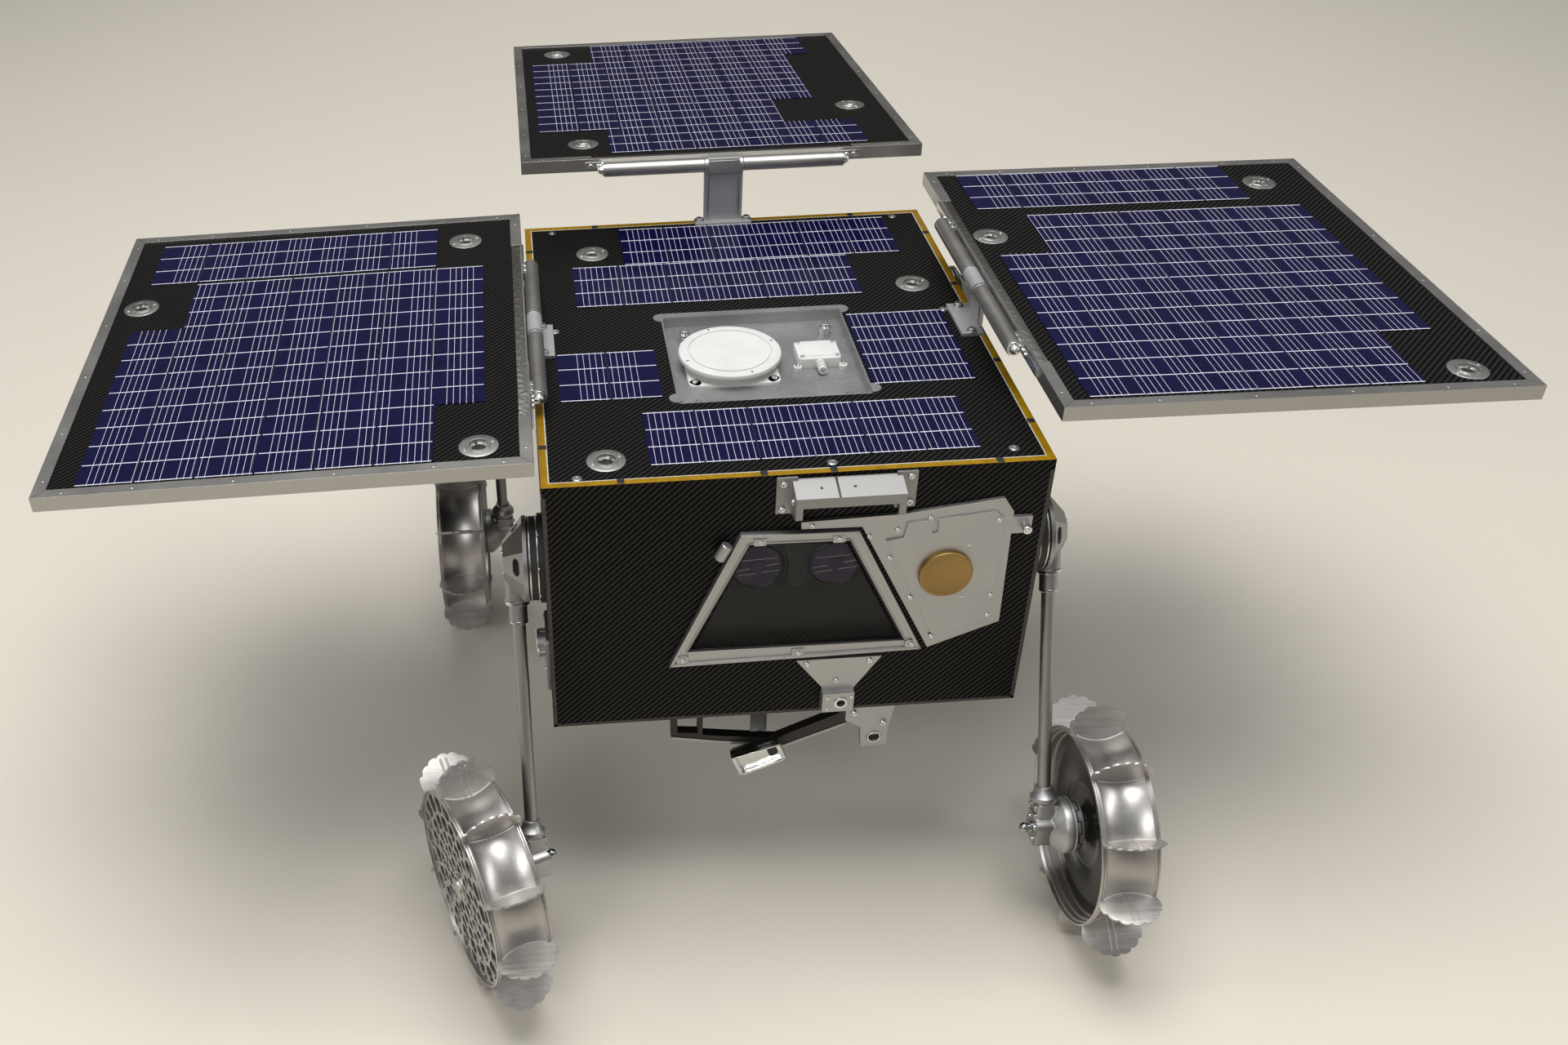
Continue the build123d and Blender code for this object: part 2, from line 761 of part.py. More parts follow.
# Right panel. Outlines: out from the inner edge, back from the front edge, as
# shares of the panel
right_hinge_depth = 5.5
right_hinge_x = right_x + right_hinge_inset
right_hinge_z = lid_top + right_hinge_height
right_outlines = [
    [(0.212, 0.771), (0.918, 0.771), (0.918, 0.950), (0.212, 0.950)],
    [
        (0.096, 0.214), (0.203, 0.214), (0.203, 0.030), (0.921, 0.030), (0.921, 0.567), (0.801, 0.567),
        (0.801, 0.758), (0.096, 0.758),
    ],
]
right_cups = [
    (
        across * body_width - right_hinge_inset - hinge_to_panel_edge,
        side_panel_start + side_panel_length - back * body_depth,
    )
    for across, back in cup_places
]
make_panel(
    "right_panel",
    panel_plane(Vector(right_hinge_x, side_panel_rear, right_hinge_z), Vector(-1, 0, 0),
                right_hinge_depth, right_droop),
    side_panel_span, side_panel_length, right_hinge_depth,
    [
        [(out * side_panel_span, (1 - back) * side_panel_length) for out, back in outline]
        for outline in right_outlines
    ],
    right_cups,
)

# Left panel. Outlines: out from the inner edge, back from the front edge, as
# shares of the panel
left_hinge_depth = 6.4
left_hinge_x = left_x - left_hinge_inset
left_hinge_z = lid_top + left_hinge_height
left_outlines = [
    [(0.078, 0.801), (0.783, 0.801), (0.783, 0.977), (0.078, 0.977)],
    [
        (0.063, 0.033), (0.768, 0.033), (0.768, 0.214), (0.891, 0.214), (0.891, 0.761), (0.191, 0.761),
        (0.191, 0.584), (0.063, 0.584),
    ],
]
left_cups = [
    (
        (1 - across) * body_width - left_hinge_inset - hinge_to_panel_edge,
        back * body_depth - side_panel_start,
    )
    for across, back in cup_places
]
make_panel(
    "left_panel",
    panel_plane(Vector(left_hinge_x, side_panel_front, left_hinge_z), Vector(1, 0, 0),
                left_hinge_depth, left_droop),
    side_panel_span, side_panel_length, left_hinge_depth,
    [
        [(out * side_panel_span, back * side_panel_length) for out, back in outline]
        for outline in left_outlines
    ],
    left_cups,
)

# Back panel. Outline: across from the right edge, out from the inner edge, as
# shares of the panel
back_hinge_depth = 8.0
back_hinge_y = rear_y - back_hinge_inset
back_hinge_z = lid_top + back_hinge_height
back_outlines = [
    [
        (0.226, 0.044), (0.876, 0.044), (0.876, 0.210), (0.695, 0.210), (0.695, 0.395), (0.811, 0.395),
        (0.811, 0.805), (0.881, 0.805), (0.881, 0.971), (0.232, 0.971), (0.232, 0.805), (0.051, 0.805),
        (0.051, 0.215), (0.226, 0.215),
    ],
]
back_cups = [
    (
        (1 - back) * body_depth - back_hinge_inset - hinge_to_panel_edge,
        (1 - across) * body_width,
    )
    for across, back in cup_places
]
make_panel(
    "back_panel",
    panel_plane(Vector(left_x, back_hinge_y, back_hinge_z), Vector(0, 1, 0),
                back_hinge_depth, back_droop),
    back_panel_span, body_width, back_hinge_depth,
    [
        [(out * back_panel_span, (1 - across) * body_width) for across, out in outline]
        for outline in back_outlines
    ],
    back_cups,
)


# The fixed half of a panel's hinge: a foot and an upright on the lid, the
# middle knuckle, and the pin on which the panel's two tubes turn. The plane's
# origin is on the lid under the axis's middle, its x runs along the axis and
# its y toward the lid's middle. near and far are the upright's two sides.
def make_hinge_base(name, plane, height, near, far, foot_reach):
    half_knuckle = hinge_knuckle_length / 2
    half_foot = hinge_foot_width / 2
    axis_plane = Plane(
        origin=plane.from_local_coords((0, 0, height)), x_dir=plane.y_dir, z_dir=plane.x_dir
    )
    upright_plane = Plane(
        origin=plane.from_local_coords((0, far, 0)), x_dir=plane.x_dir, z_dir=plane.y_dir * -1
    )
    with BuildPart() as base:
        with BuildSketch(upright_plane):
            with BuildLine():
                Polyline(
                    (-half_foot, 0), (-half_foot, hinge_foot_thickness), (-half_knuckle, hinge_foot_thickness),
                    (-half_knuckle, height), (half_knuckle, height), (half_knuckle, hinge_foot_thickness),
                    (half_foot, hinge_foot_thickness), (half_foot, 0), close=True,
                )
            make_face()
        extrude(amount=far - near)
        with BuildSketch(plane):
            with Locations((0, (near + foot_reach) / 2)):
                Rectangle(hinge_foot_width, foot_reach - near)
        extrude(amount=hinge_foot_thickness)
        with BuildSketch(axis_plane.offset(-half_knuckle)):
            Circle(hinge_tube_radius)
        extrude(amount=hinge_knuckle_length)
        with BuildSketch(axis_plane.offset(-hinge_tube_length / 2)):
            Circle(hinge_pin_radius)
        extrude(amount=hinge_tube_length)
    keep(name, base.part)


right_upright_near = -2.5
right_upright_far = 2.5
right_foot_reach = 14.5
make_hinge_base(
    "right_hinge_base",
    Plane(origin=(right_hinge_x, side_panel_middle, lid_top), x_dir=(0, -1, 0), z_dir=(0, 0, 1)),
    right_hinge_height, right_upright_near, right_upright_far, right_foot_reach,
)
left_upright_near = -4.5
left_upright_far = -2.0
left_foot_reach = 13.0
make_hinge_base(
    "left_hinge_base",
    Plane(origin=(left_hinge_x, side_panel_middle, lid_top), x_dir=(0, 1, 0), z_dir=(0, 0, 1)),
    left_hinge_height, left_upright_near, left_upright_far, left_foot_reach,
)
back_upright_near = -2.5
back_upright_far = 2.5
back_foot_reach = 9.0
make_hinge_base(
    "back_hinge_base",
    Plane(origin=(0, back_hinge_y, lid_top), x_dir=(-1, 0, 0), z_dir=(0, 0, 1)),
    back_hinge_height, back_upright_near, back_upright_far, back_foot_reach,
)

# Legs, one row each: name, side, shoulder's inset from the front, its height,
# lean forward in degrees, stand-off from the box, and the wheel's twist
front_shoulder_height = lid_top - front_shoulder_drop
rear_shoulder_inset = body_depth - front_shoulder_inset
legs = [
    ("front_right", -1, front_shoulder_inset, front_shoulder_height, front_lean, front_stand_off,
     parked_wheel_twist),
    ("front_left", 1, front_shoulder_inset, front_shoulder_height, front_lean, front_stand_off, 0.0),
    ("rear_right", -1, rear_shoulder_inset, rear_shoulder_height, -rear_lean, rear_stand_off, 0.0),
    ("rear_left", 1, rear_shoulder_inset, rear_shoulder_height, -rear_lean, rear_stand_off, 0.0),
]


# Thickness of a shoulder's fixed discs: the rear ones stand further out
def shoulder_thickness(stand_off):
    return shoulder_base_thickness + shoulder_disc_thickness + stand_off - front_stand_off


with BuildPart() as shoulder_discs:
    for name, side, inset, height, lean, stand_off, twist in legs:
        wall_plane = Plane(
            origin=(side * body_width / 2, front_y + inset, height), x_dir=(0, side, 0), z_dir=(side, 0, 0)
        )
        with BuildSketch(wall_plane):
            Circle(shoulder_radius)
        extrude(amount=shoulder_base_thickness)
        with BuildSketch(wall_plane.offset(shoulder_base_thickness)):
            Circle(shoulder_radius - shoulder_disc_step)
        extrude(amount=shoulder_thickness(stand_off) - shoulder_base_thickness)
keep("shoulder_discs", shoulder_discs.part)

# One petal, standing on the rim: x along the axle, y round the rim, z out.
# The middle scallop's crest lies flat at the tip's radius.
half_petal = petal_width / 2
petal_root_radius = rim_waist_radius - rim_skin / 2
tip_drop = petal_tip_radius - petal_corner_radius
tip_arc_radius = (petal_corner_reach ** 2 + tip_drop ** 2) / (2 * tip_drop)
tip_arc_angle = asin(petal_corner_reach / tip_arc_radius)
scallop_angle = 2 * tip_arc_angle / scallop_count
crest_angle = scallop_angle * scallop_crest / 2
tip_arc_middle = petal_tip_radius - tip_arc_radius * cos(crest_angle)


def tip_point(angle, radius):
    return (radius * sin(angle), tip_arc_middle + radius * cos(angle))


petal_outline = [(-half_petal, petal_root_radius), (-half_petal, petal_side_radius)]
for scallop in range(scallop_count):
    scallop_start = -tip_arc_angle + scallop * scallop_angle
    scallop_middle = scallop_start + scallop_angle / 2
    petal_outline.append(tip_point(scallop_start, tip_arc_radius - scallop_depth))
    petal_outline.append(tip_point(scallop_middle - crest_angle, tip_arc_radius))
    petal_outline.append(tip_point(scallop_middle + crest_angle, tip_arc_radius))
petal_outline.append(tip_point(tip_arc_angle, tip_arc_radius - scallop_depth))
petal_outline.append((half_petal, petal_side_radius))
petal_outline.append((half_petal, petal_root_radius))

with BuildPart() as petal:
    with BuildSketch(Plane.XZ.offset(-petal_thickness / 2)):
        with BuildLine():
            Polyline(petal_outline, close=True)
        make_face()
    extrude(amount=petal_thickness)
    with BuildSketch(Plane.XZ.offset(-petal_thickness / 2)):
        with Locations((0, (petal_root_radius + ridge_tip_radius) / 2)):
            with GridLocations(ridge_spacing, 0, 2, 1):
                Rectangle(ridge_width, ridge_tip_radius - petal_root_radius)
    extrude(amount=-ridge_height)

# One wheel about its axle: z is the axle outward from the box, x is up, and
# the origin is at the wheel's middle. Half section: out from the axle, along it
half_rim = rim_width / 2
half_waist = half_rim - rim_lip_width
waist_dip = rim_lip_radius - rim_waist_radius
waist_curve_radius = (half_waist ** 2 + waist_dip ** 2) / (2 * waist_dip)
waist_angle = asin(half_waist / waist_curve_radius)
waist_points = []
for flat in range(rim_flats + 1):
    angle = waist_angle * (2 * flat / rim_flats - 1)
    waist_points.append(
        (rim_waist_radius + waist_curve_radius * (1 - cos(angle)), waist_curve_radius * sin(angle))
    )
face_seat = half_rim - face_inset - face_thickness
rim_bore_radius = rim_waist_radius - rim_skin
face_radius = rim_lip_radius - rim_skin
wheel_bore_radius = hub_shaft_radius + running_clearance
wheel_section = [
    (wheel_bore_radius, -dish_setback - hub_boss_length),
    (hub_boss_radius, -dish_setback - hub_boss_length),
    (hub_boss_radius, -dish_setback - dish_thickness),
    (rim_bore_radius, -dish_setback - dish_thickness),
    (face_radius, -half_rim),
    (rim_lip_radius, -half_rim),
] + waist_points + [
    (rim_lip_radius, half_rim),
    (face_radius, half_rim),
    (face_radius, face_seat),
    (rim_bore_radius, face_seat),
    (rim_bore_radius, -dish_setback),
    (wheel_bore_radius, -dish_setback),
]
inner_recess = [
    (rim_bore_radius, -dish_setback - dish_thickness),
    (face_radius, -half_rim),
    (face_radius, -petal_width),
    (rim_bore_radius, -petal_width),
]
with BuildPart() as wheel:
    with BuildSketch(Plane.XZ):
        with BuildLine():
            Polyline(wheel_section, close=True)
        make_face()
    revolve(axis=Axis.Z)
    for petal_turn in range(petal_count):
        turn = radians(360.0 / petal_count * (petal_turn + 0.5))
        petal_plane = Plane(origin=(0, 0, 0), x_dir=(0, 0, 1), z_dir=(cos(turn), sin(turn), 0))
        add(petal.part.moved(petal_plane.location))
    with BuildSketch(Plane.XY.offset(face_seat)):
        Circle(face_radius)
    extrude(amount=half_petal, mode=Mode.SUBTRACT)
    with BuildSketch(Plane.XZ):
        with BuildLine():
            Polyline(inner_recess, close=True)
        make_face()
    revolve(axis=Axis.Z, mode=Mode.SUBTRACT)

# The wheel's face: three rings of six-sided openings and the hub's nut.
# Columns: radius of the ring, radial size of an opening, its width
face_rings = [(18.5, 9.0, 7.0), (36.0, 18.0, 10.0), (60.5, 21.0, 13.0)]
face_ring_counts = [10, 15, 20]
with BuildPart() as wheel_face:
    with BuildSketch(Plane.XY.offset(face_seat)):
        Circle(face_radius - seat_clearance)
        for (ring_radius, opening_length, opening_width), opening_count in zip(face_rings, face_ring_counts):
            half_length = opening_length / 2
            half_width = opening_width / 2
            with PolarLocations(ring_radius, opening_count):
                Polygon(
                    (-half_length, 0), (-half_length / 2, half_width), (half_length / 2, half_width),
                    (half_length, 0), (half_length / 2, -half_width), (-half_length / 2, -half_width),
                    mode=Mode.SUBTRACT,
                )
    extrude(amount=face_thickness)
    with BuildSketch(Plane.XY.offset(face_seat + face_thickness)):
        Circle(face_nut_radius)
    extrude(amount=face_nut_height)

# The drive unit, told about the axle: x up, z outward from the leg's line
shaft_end = wheel_offset - dish_setback
boss_start = shaft_end - hub_boss_length
with BuildPart() as drive_unit:
    with BuildSketch(Plane.XY.offset(drive_block_inner)):
        RectangleRounded(drive_block_width, drive_block_width, drive_block_corner)
    extrude(amount=drive_block_outer - drive_block_inner)
    with BuildSketch(Plane.XZ):
        with BuildLine():
            Polyline(
                (0, drive_cone_start), (drive_cone_radius, drive_cone_start),
                (drive_can_radius, drive_can_start), (drive_can_radius, drive_can_end),
                (drive_flange_radius, drive_can_end), (drive_flange_radius, drive_flange_end),
                (hub_shaft_radius, drive_flange_end), (hub_shaft_radius, shaft_end), (0, shaft_end),
                close=True,
            )
        make_face()
    revolve(axis=Axis.Z)
    with BuildSketch(Plane.XY.offset(drive_block_inner)):
        Circle(ball_nut_stem_radius)
    extrude(amount=-ball_nut_stem - ball_nut_radius)
    with Locations((0, 0, drive_block_inner - ball_nut_stem - ball_nut_radius)):
        Sphere(ball_nut_radius)

tube_end = leg_length - collar_above_axle

# The shoulder's cone has flat sides. Its recesses lie in three of them, told
# by their turn from the leg and by their share of the way up the slope.
cone_base_radius = shoulder_radius - cone_step
cone_turn = 180.0 / cone_side_count
side_low = cone_base_radius * cos(radians(cone_turn))
side_high = cone_top_radius * cos(radians(cone_turn))
cone_rise = cone_height - cone_lip
recess_radius = side_low + (side_high - side_low) * cone_recess_share
recess_height = cone_lip + cone_rise * cone_recess_share
recess_turns = [90.0, 180.0, 270.0]
for name, side, inset, height, lean, stand_off, twist in legs:
    outward = Vector(side, 0, 0)
    down = Vector(0, -sin(radians(lean)), -cos(radians(lean)))
    shoulder = Vector(side * (body_width / 2 + stand_off), front_y + inset, height)
    axle = shoulder + down * leg_length
    axle_way = Vector(side * cos(radians(twist)), -sin(radians(twist)), 0)
    leg_plane = Plane(origin=shoulder, x_dir=outward, z_dir=down)
    axle_plane = Plane(origin=axle, x_dir=(0, 0, 1), z_dir=axle_way)
    cone_plane = Plane(
        origin=shoulder + outward * (shoulder_thickness(stand_off) + turning_gap - stand_off),
        x_dir=down, z_dir=outward,
    )

    with BuildPart() as cone:
        with BuildSketch(cone_plane):
            Circle(cone_base_radius)
        extrude(amount=cone_lip)
        with BuildSketch(cone_plane.offset(cone_lip)):
            RegularPolygon(cone_base_radius, cone_side_count, rotation=cone_turn)
        with BuildSketch(cone_plane.offset(cone_height)):
            RegularPolygon(cone_top_radius, cone_side_count, rotation=cone_turn)
        loft()
        for recess_turn in recess_turns:
            side_way = cone_plane.x_dir * cos(radians(recess_turn)) + cone_plane.y_dir * sin(radians(recess_turn))
            recess_plane = Plane(
                origin=cone_plane.origin + side_way * recess_radius + outward * recess_height,
                x_dir=side_way.cross(outward), z_dir=side_way * cone_rise + outward * (side_low - side_high),
            )
            with BuildSketch(recess_plane):
                SlotOverall(cone_recess_length, cone_recess_width)
            extrude(amount=-cone_recess_depth, mode=Mode.SUBTRACT)
        with BuildSketch(leg_plane):
            Circle(leg_boss_radius)
        extrude(amount=leg_boss_length)
    keep(name + "_shoulder_cone", cone.part)

    with BuildPart() as leg_tube:
        with BuildSketch(leg_plane.offset(leg_boss_length)):
            Circle(ferrule_radius)
        extrude(amount=ferrule_length)
        with BuildSketch(leg_plane.offset(leg_boss_length + ferrule_length)):
            Circle(leg_tube_radius)
        extrude(amount=tube_end - leg_boss_length - ferrule_length)
        with BuildSketch(leg_plane.offset(leg_boss_length)):
            Circle(leg_tube_bore_radius)
        extrude(amount=tube_end - leg_boss_length, mode=Mode.SUBTRACT)
    keep(name + "_leg_tube", leg_tube.part)

    with BuildPart() as drive:
        add(drive_unit.part.moved(axle_plane.location))
        with BuildSketch(leg_plane.offset(tube_end)):
            Circle(collar_top_radius)
        with BuildSketch(leg_plane.offset(tube_end + collar_flare_length)):
            Circle(collar_radius)
        loft()
        with BuildSketch(leg_plane.offset(tube_end + collar_flare_length)):
            Circle(collar_radius)
        extrude(amount=collar_length - collar_flare_length)
        with BuildSketch(leg_plane.offset(tube_end + collar_length)):
            Rectangle(clamp_width, clamp_depth)
        extrude(amount=collar_above_axle - collar_length)
    keep(name + "_hub_drive", drive.part)

    wheel_plane = Plane(origin=axle + axle_way * wheel_offset, x_dir=(0, 0, 1), z_dir=axle_way)
    keep(name + "_wheel", wheel.part.moved(wheel_plane.location))
    keep(name + "_wheel_face", wheel_face.part.moved(wheel_plane.location))
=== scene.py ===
import bmesh
import bpy
import json
import math
from mathutils import Matrix, Vector, noise


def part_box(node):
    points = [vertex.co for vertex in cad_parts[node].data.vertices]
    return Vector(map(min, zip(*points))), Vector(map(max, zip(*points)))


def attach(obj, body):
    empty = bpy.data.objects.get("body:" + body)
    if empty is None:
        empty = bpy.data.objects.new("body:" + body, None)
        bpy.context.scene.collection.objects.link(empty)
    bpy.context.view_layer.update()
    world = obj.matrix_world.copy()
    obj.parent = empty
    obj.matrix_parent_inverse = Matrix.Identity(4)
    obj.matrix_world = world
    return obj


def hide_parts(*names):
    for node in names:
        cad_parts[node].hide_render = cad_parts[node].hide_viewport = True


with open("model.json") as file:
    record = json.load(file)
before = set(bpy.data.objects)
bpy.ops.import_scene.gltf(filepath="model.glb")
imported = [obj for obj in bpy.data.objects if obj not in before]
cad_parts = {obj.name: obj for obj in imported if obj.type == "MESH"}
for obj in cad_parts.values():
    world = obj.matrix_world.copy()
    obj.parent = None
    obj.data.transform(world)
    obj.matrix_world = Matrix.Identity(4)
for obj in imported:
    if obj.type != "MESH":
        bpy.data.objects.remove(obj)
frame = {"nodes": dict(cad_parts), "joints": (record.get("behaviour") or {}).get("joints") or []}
nodes = frame["nodes"]
joints = {joint["name"]: joint for joint in frame["joints"]}
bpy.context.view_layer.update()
lid_low, lid_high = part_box("body_lid")
right_x, front_y, lid_top = lid_low.x, lid_low.y, lid_high.z

# Camera, standing in front of the rover's right side and looking down on it
camera = bpy.data.objects.new("camera", bpy.data.cameras.new("camera"))
camera.data.sensor_width = 36.0
camera.data.lens = 34.928
camera.data.shift_x = 0.114877
camera.location = (right_x - 0.002385, front_y - 0.846802, lid_top + 0.582385)
camera.rotation_euler = [math.radians(angle) for angle in (54.10688, 1.25952, -3.92270)]
bpy.context.scene.collection.objects.link(camera)
bpy.context.scene.camera = camera
bpy.context.scene.view_settings.view_transform = "Standard"


# Materials are told by their nodes: a setting is the node's own, an input is a
# value or another node's output
def node(tree, kind, settings=None, **inputs):
    made = tree.nodes.new("ShaderNode" + kind)
    for name, value in (settings or {}).items():
        setattr(made, name, value)
    for name, value in inputs.items():
        socket = made.inputs[int(name[1:])] if name[1:].isdigit() else made.inputs[name.replace("_", " ")]
        if isinstance(value, bpy.types.NodeSocket):
            tree.links.new(value, socket)
        else:
            socket.default_value = value
    return made


def maths(tree, operation, *values):
    inputs = {"i%d" % place: value for place, value in enumerate(values)}
    return node(tree, "Math", {"operation": operation}, **inputs).outputs[0]


def mix(tree, share, first, second):
    made = node(tree, "Mix", {"data_type": "RGBA"}, i0=share, i6=first, i7=second)
    return made.outputs[2]


def new_material(name, colour, metallic, roughness):
    material = bpy.data.materials.new(name)
    material.use_nodes = True
    tree = material.node_tree
    shader = tree.nodes["Principled BSDF"]
    shader.inputs["Base Color"].default_value = (*colour, 1.0)
    shader.inputs["Metallic"].default_value = metallic
    shader.inputs["Roughness"].default_value = roughness
    coords = node(tree, "TexCoord")
    return material, tree, shader, coords


def finish_nodes(material, *names):
    for name in names:
        nodes[name].data.materials.clear()
        nodes[name].data.materials.append(material)


# Floor: one pale sheet, and soft lamps over it
floor_mesh = bmesh.new()
bmesh.ops.create_grid(floor_mesh, x_segments=1, y_segments=1, size=7.0)
floor_data = bpy.data.meshes.new("floor")
floor_mesh.to_mesh(floor_data)
floor_mesh.free()
floor = bpy.data.objects.new("floor", floor_data)
bpy.context.scene.collection.objects.link(floor)
floor_paint, tree, shader, coords = new_material("floor_paint", (0.63, 0.585, 0.505), 0.0, 0.5)
speckle = node(tree, "TexNoise", Vector=coords.outputs["Object"], Scale=9.0, Detail=6.0, Roughness=0.6)
tree.links.new(
    node(tree, "MapRange", Value=speckle.outputs[0], i3=0.38, i4=0.5).outputs[0], shader.inputs["Roughness"]
)
floor_data.materials.append(floor_paint)

# Columns: name, place, aimed at, width, depth, watts, seen in reflections
lamps = [
    ("lamp_over", (-0.1, -0.2, 2.7), (0.0, 0.0, 0.3), 1.9, 1.5, 66.0, True),
    ("lamp_front", (-1.5, -2.6, 2.2), (0.0, -0.2, 0.3), 1.4, 0.6, 24.0, True),
    ("lamp_left", (2.7, -0.8, 1.9), (0.0, 0.0, 0.3), 0.5, 1.8, 17.0, True),
    ("lamp_right", (-2.7, 0.0, 1.8), (0.0, 0.0, 0.3), 0.5, 1.8, 14.0, True),
    ("lamp_back", (0.5, 3.0, 1.6), (0.0, 0.0, 0.3), 2.2, 0.6, 20.0, False),
]
for name, spot, aim, width, depth, watts, reflected in lamps:
    light = bpy.data.lights.new(name, "AREA")
    light.shape = "RECTANGLE"
    light.size = width
    light.size_y = depth
    light.energy = watts
    lamp = bpy.data.objects.new(name, light)
    lamp.location = spot
    lamp.visible_glossy = reflected
    lamp.rotation_euler = (Vector(aim) - Vector(spot)).to_track_quat("-Z", "Y").to_euler()
    bpy.context.scene.collection.objects.link(lamp)
world = bpy.data.worlds.new("room")
world.use_nodes = True
bpy.context.scene.world = world
tree = world.node_tree
sky = node(tree, "TexCoord")
height = node(tree, "SeparateXYZ", Vector=sky.outputs["Generated"]).outputs[2]
ramp = node(tree, "ValToRGB", Fac=node(tree, "MapRange", Value=height, i1=-1.0).outputs[0])
ramp.color_ramp.elements[0].position = 0.45
ramp.color_ramp.elements[0].color = (0.40, 0.36, 0.30, 1.0)
ramp.color_ramp.elements[1].position = 0.95
ramp.color_ramp.elements[1].color = (0.85, 0.87, 0.90, 1.0)
dusk = ramp.color_ramp.elements.new(0.56)
dusk.color = (0.075, 0.060, 0.050, 1.0)
tree.links.new(ramp.outputs[0], tree.nodes["Background"].inputs["Color"])
tree.nodes["Background"].inputs["Strength"].default_value = 0.50

# Body box: six carbon-fibre sandwich panels, glued edge to edge. The weave
# shows as fine diagonal bands under a thin matte resin, on whichever way the
# face looks. The bands are painted light: where the tows of one way lie on top
# they are painted lighter as painted sheen, and each tow is painted darker
# towards its edges as painted shade.
carbon, tree, shader, coords = new_material("carbon_weave", (0.03, 0.03, 0.03), 0.0, 0.5)
way = node(tree, "SeparateXYZ", Vector=node(tree, "VectorMath", {"operation": "ABSOLUTE"},
           i0=coords.outputs["Normal"]).outputs[0])
spot = node(tree, "SeparateXYZ", Vector=coords.outputs["Object"])
to_side = maths(tree, "GREATER_THAN", way.outputs[0], 0.5)
to_top = maths(tree, "GREATER_THAN", way.outputs[2], 0.5)
across = node(tree, "Mix", i0=to_side, i2=spot.outputs[0], i3=spot.outputs[1]).outputs[0]
along = node(tree, "Mix", i0=to_top, i2=spot.outputs[2], i3=spot.outputs[1]).outputs[0]
tow = 0.0013
across = maths(tree, "DIVIDE", across, tow)
along = maths(tree, "DIVIDE", along, tow)
turn = maths(tree, "SUBTRACT", maths(tree, "FLOOR", across), maths(tree, "FLOOR", along))
over = maths(tree, "LESS_THAN", maths(tree, "FLOORED_MODULO", turn, 4.0), 2.0)
bow_across = maths(tree, "PINGPONG", across, 0.5)
bow_along = maths(tree, "PINGPONG", along, 0.5)
bow = node(tree, "Mix", i0=over, i2=bow_along, i3=bow_across).outputs[0]
cloud = node(tree, "TexNoise", Vector=coords.outputs["Object"], Scale=14.0, Detail=4.0)
# Painted sheen: where the tows of one way lie on top they are painted lighter than the other way's; painted shade:
# each tow darkens towards its edges; real resin patches go over both
painted_tow_sheen = mix(tree, over, (0.0015, 0.0015, 0.0016, 1.0), (0.027, 0.0247, 0.0212, 1.0))
painted_tow_shade = mix(tree, maths(tree, "MULTIPLY", bow, 1.4), (0.002, 0.002, 0.002, 1.0), painted_tow_sheen)
patchy_sheen_and_shade = mix(tree, maths(tree, "MULTIPLY", cloud.outputs[0], 0.25), painted_tow_shade, (0.007, 0.0066, 0.006, 1.0))
tree.links.new(patchy_sheen_and_shade, shader.inputs["Base Color"])
tree.links.new(node(tree, "MapRange", Value=over, i3=0.52, i4=0.38).outputs[0], shader.inputs["Roughness"])
tree.links.new(node(tree, "MapRange", Value=over, i3=0.02, i4=0.20).outputs[0], shader.inputs["Specular IOR Level"])
shader.inputs["Coat Weight"].default_value = 0.03
shader.inputs["Coat Roughness"].default_value = 0.25
tree.links.new(
    node(tree, "Bump", Strength=0.35, Distance=0.0002, Height=bow).outputs[0], shader.inputs["Normal"]
)
finish_nodes(carbon, "body_floor", "body_lid", "body_right_wall", "body_left_wall", "body_rear_wall",
             "body_front_wall", "right_panel_plate", "left_panel_plate", "back_panel_plate")


# Metals differ in tone, in how dull they are, and in the grain left by the
# tool: stretch says how much longer the grain is along each axis
def new_metal(name, colour, dull, grain, stretch, bump, edge=0.0004, spread=0.20):
    material, tree, shader, coords = new_material(name, colour, 1.0, dull)
    wide = node(tree, "Mapping", Vector=coords.outputs["Object"], Scale=stretch)
    fine = node(tree, "TexNoise", Vector=wide.outputs[0], Scale=grain, Detail=3.0, Roughness=0.65)
    stain = node(tree, "TexNoise", Vector=coords.outputs["Object"], Scale=17.0, Detail=5.0, Roughness=0.6)
    tone = maths(tree, "ADD", maths(tree, "MULTIPLY", fine.outputs[0], 0.45),
                 maths(tree, "MULTIPLY", stain.outputs[0], 0.55))
    low = tuple((1 - spread) * part for part in colour)
    high = tuple(min(1.0, (1 + 0.6 * spread) * part) for part in colour)
    tree.links.new(mix(tree, tone, (*low, 1.0), (*high, 1.0)), shader.inputs["Base Color"])
    tree.links.new(
        node(tree, "MapRange", Value=tone, i1=0.3, i2=0.7, i3=dull * 0.8, i4=dull * 1.3).outputs[0],
        shader.inputs["Roughness"],
    )
    soft = node(tree, "Bevel", {"samples": 4}, Radius=edge)
    dent = node(tree, "Bump", Strength=bump, Distance=0.0003, Height=fine.outputs[0],
                Normal=soft.outputs[0])
    tree.links.new(dent.outputs[0], shader.inputs["Normal"])
    return material


satin = new_metal("satin_alloy", (0.475, 0.47, 0.46), 0.46, 900.0, (1.0, 1.0, 1.0), 0.10)
steel = new_metal("screw_steel", (0.70, 0.70, 0.69), 0.22, 1200.0, (1.0, 1.0, 1.0), 0.05, 0.0002)
black_steel = new_metal("black_screw_steel", (0.035, 0.035, 0.037), 0.35, 1200.0, (1.0, 1.0, 1.0), 0.05, 0.0002)


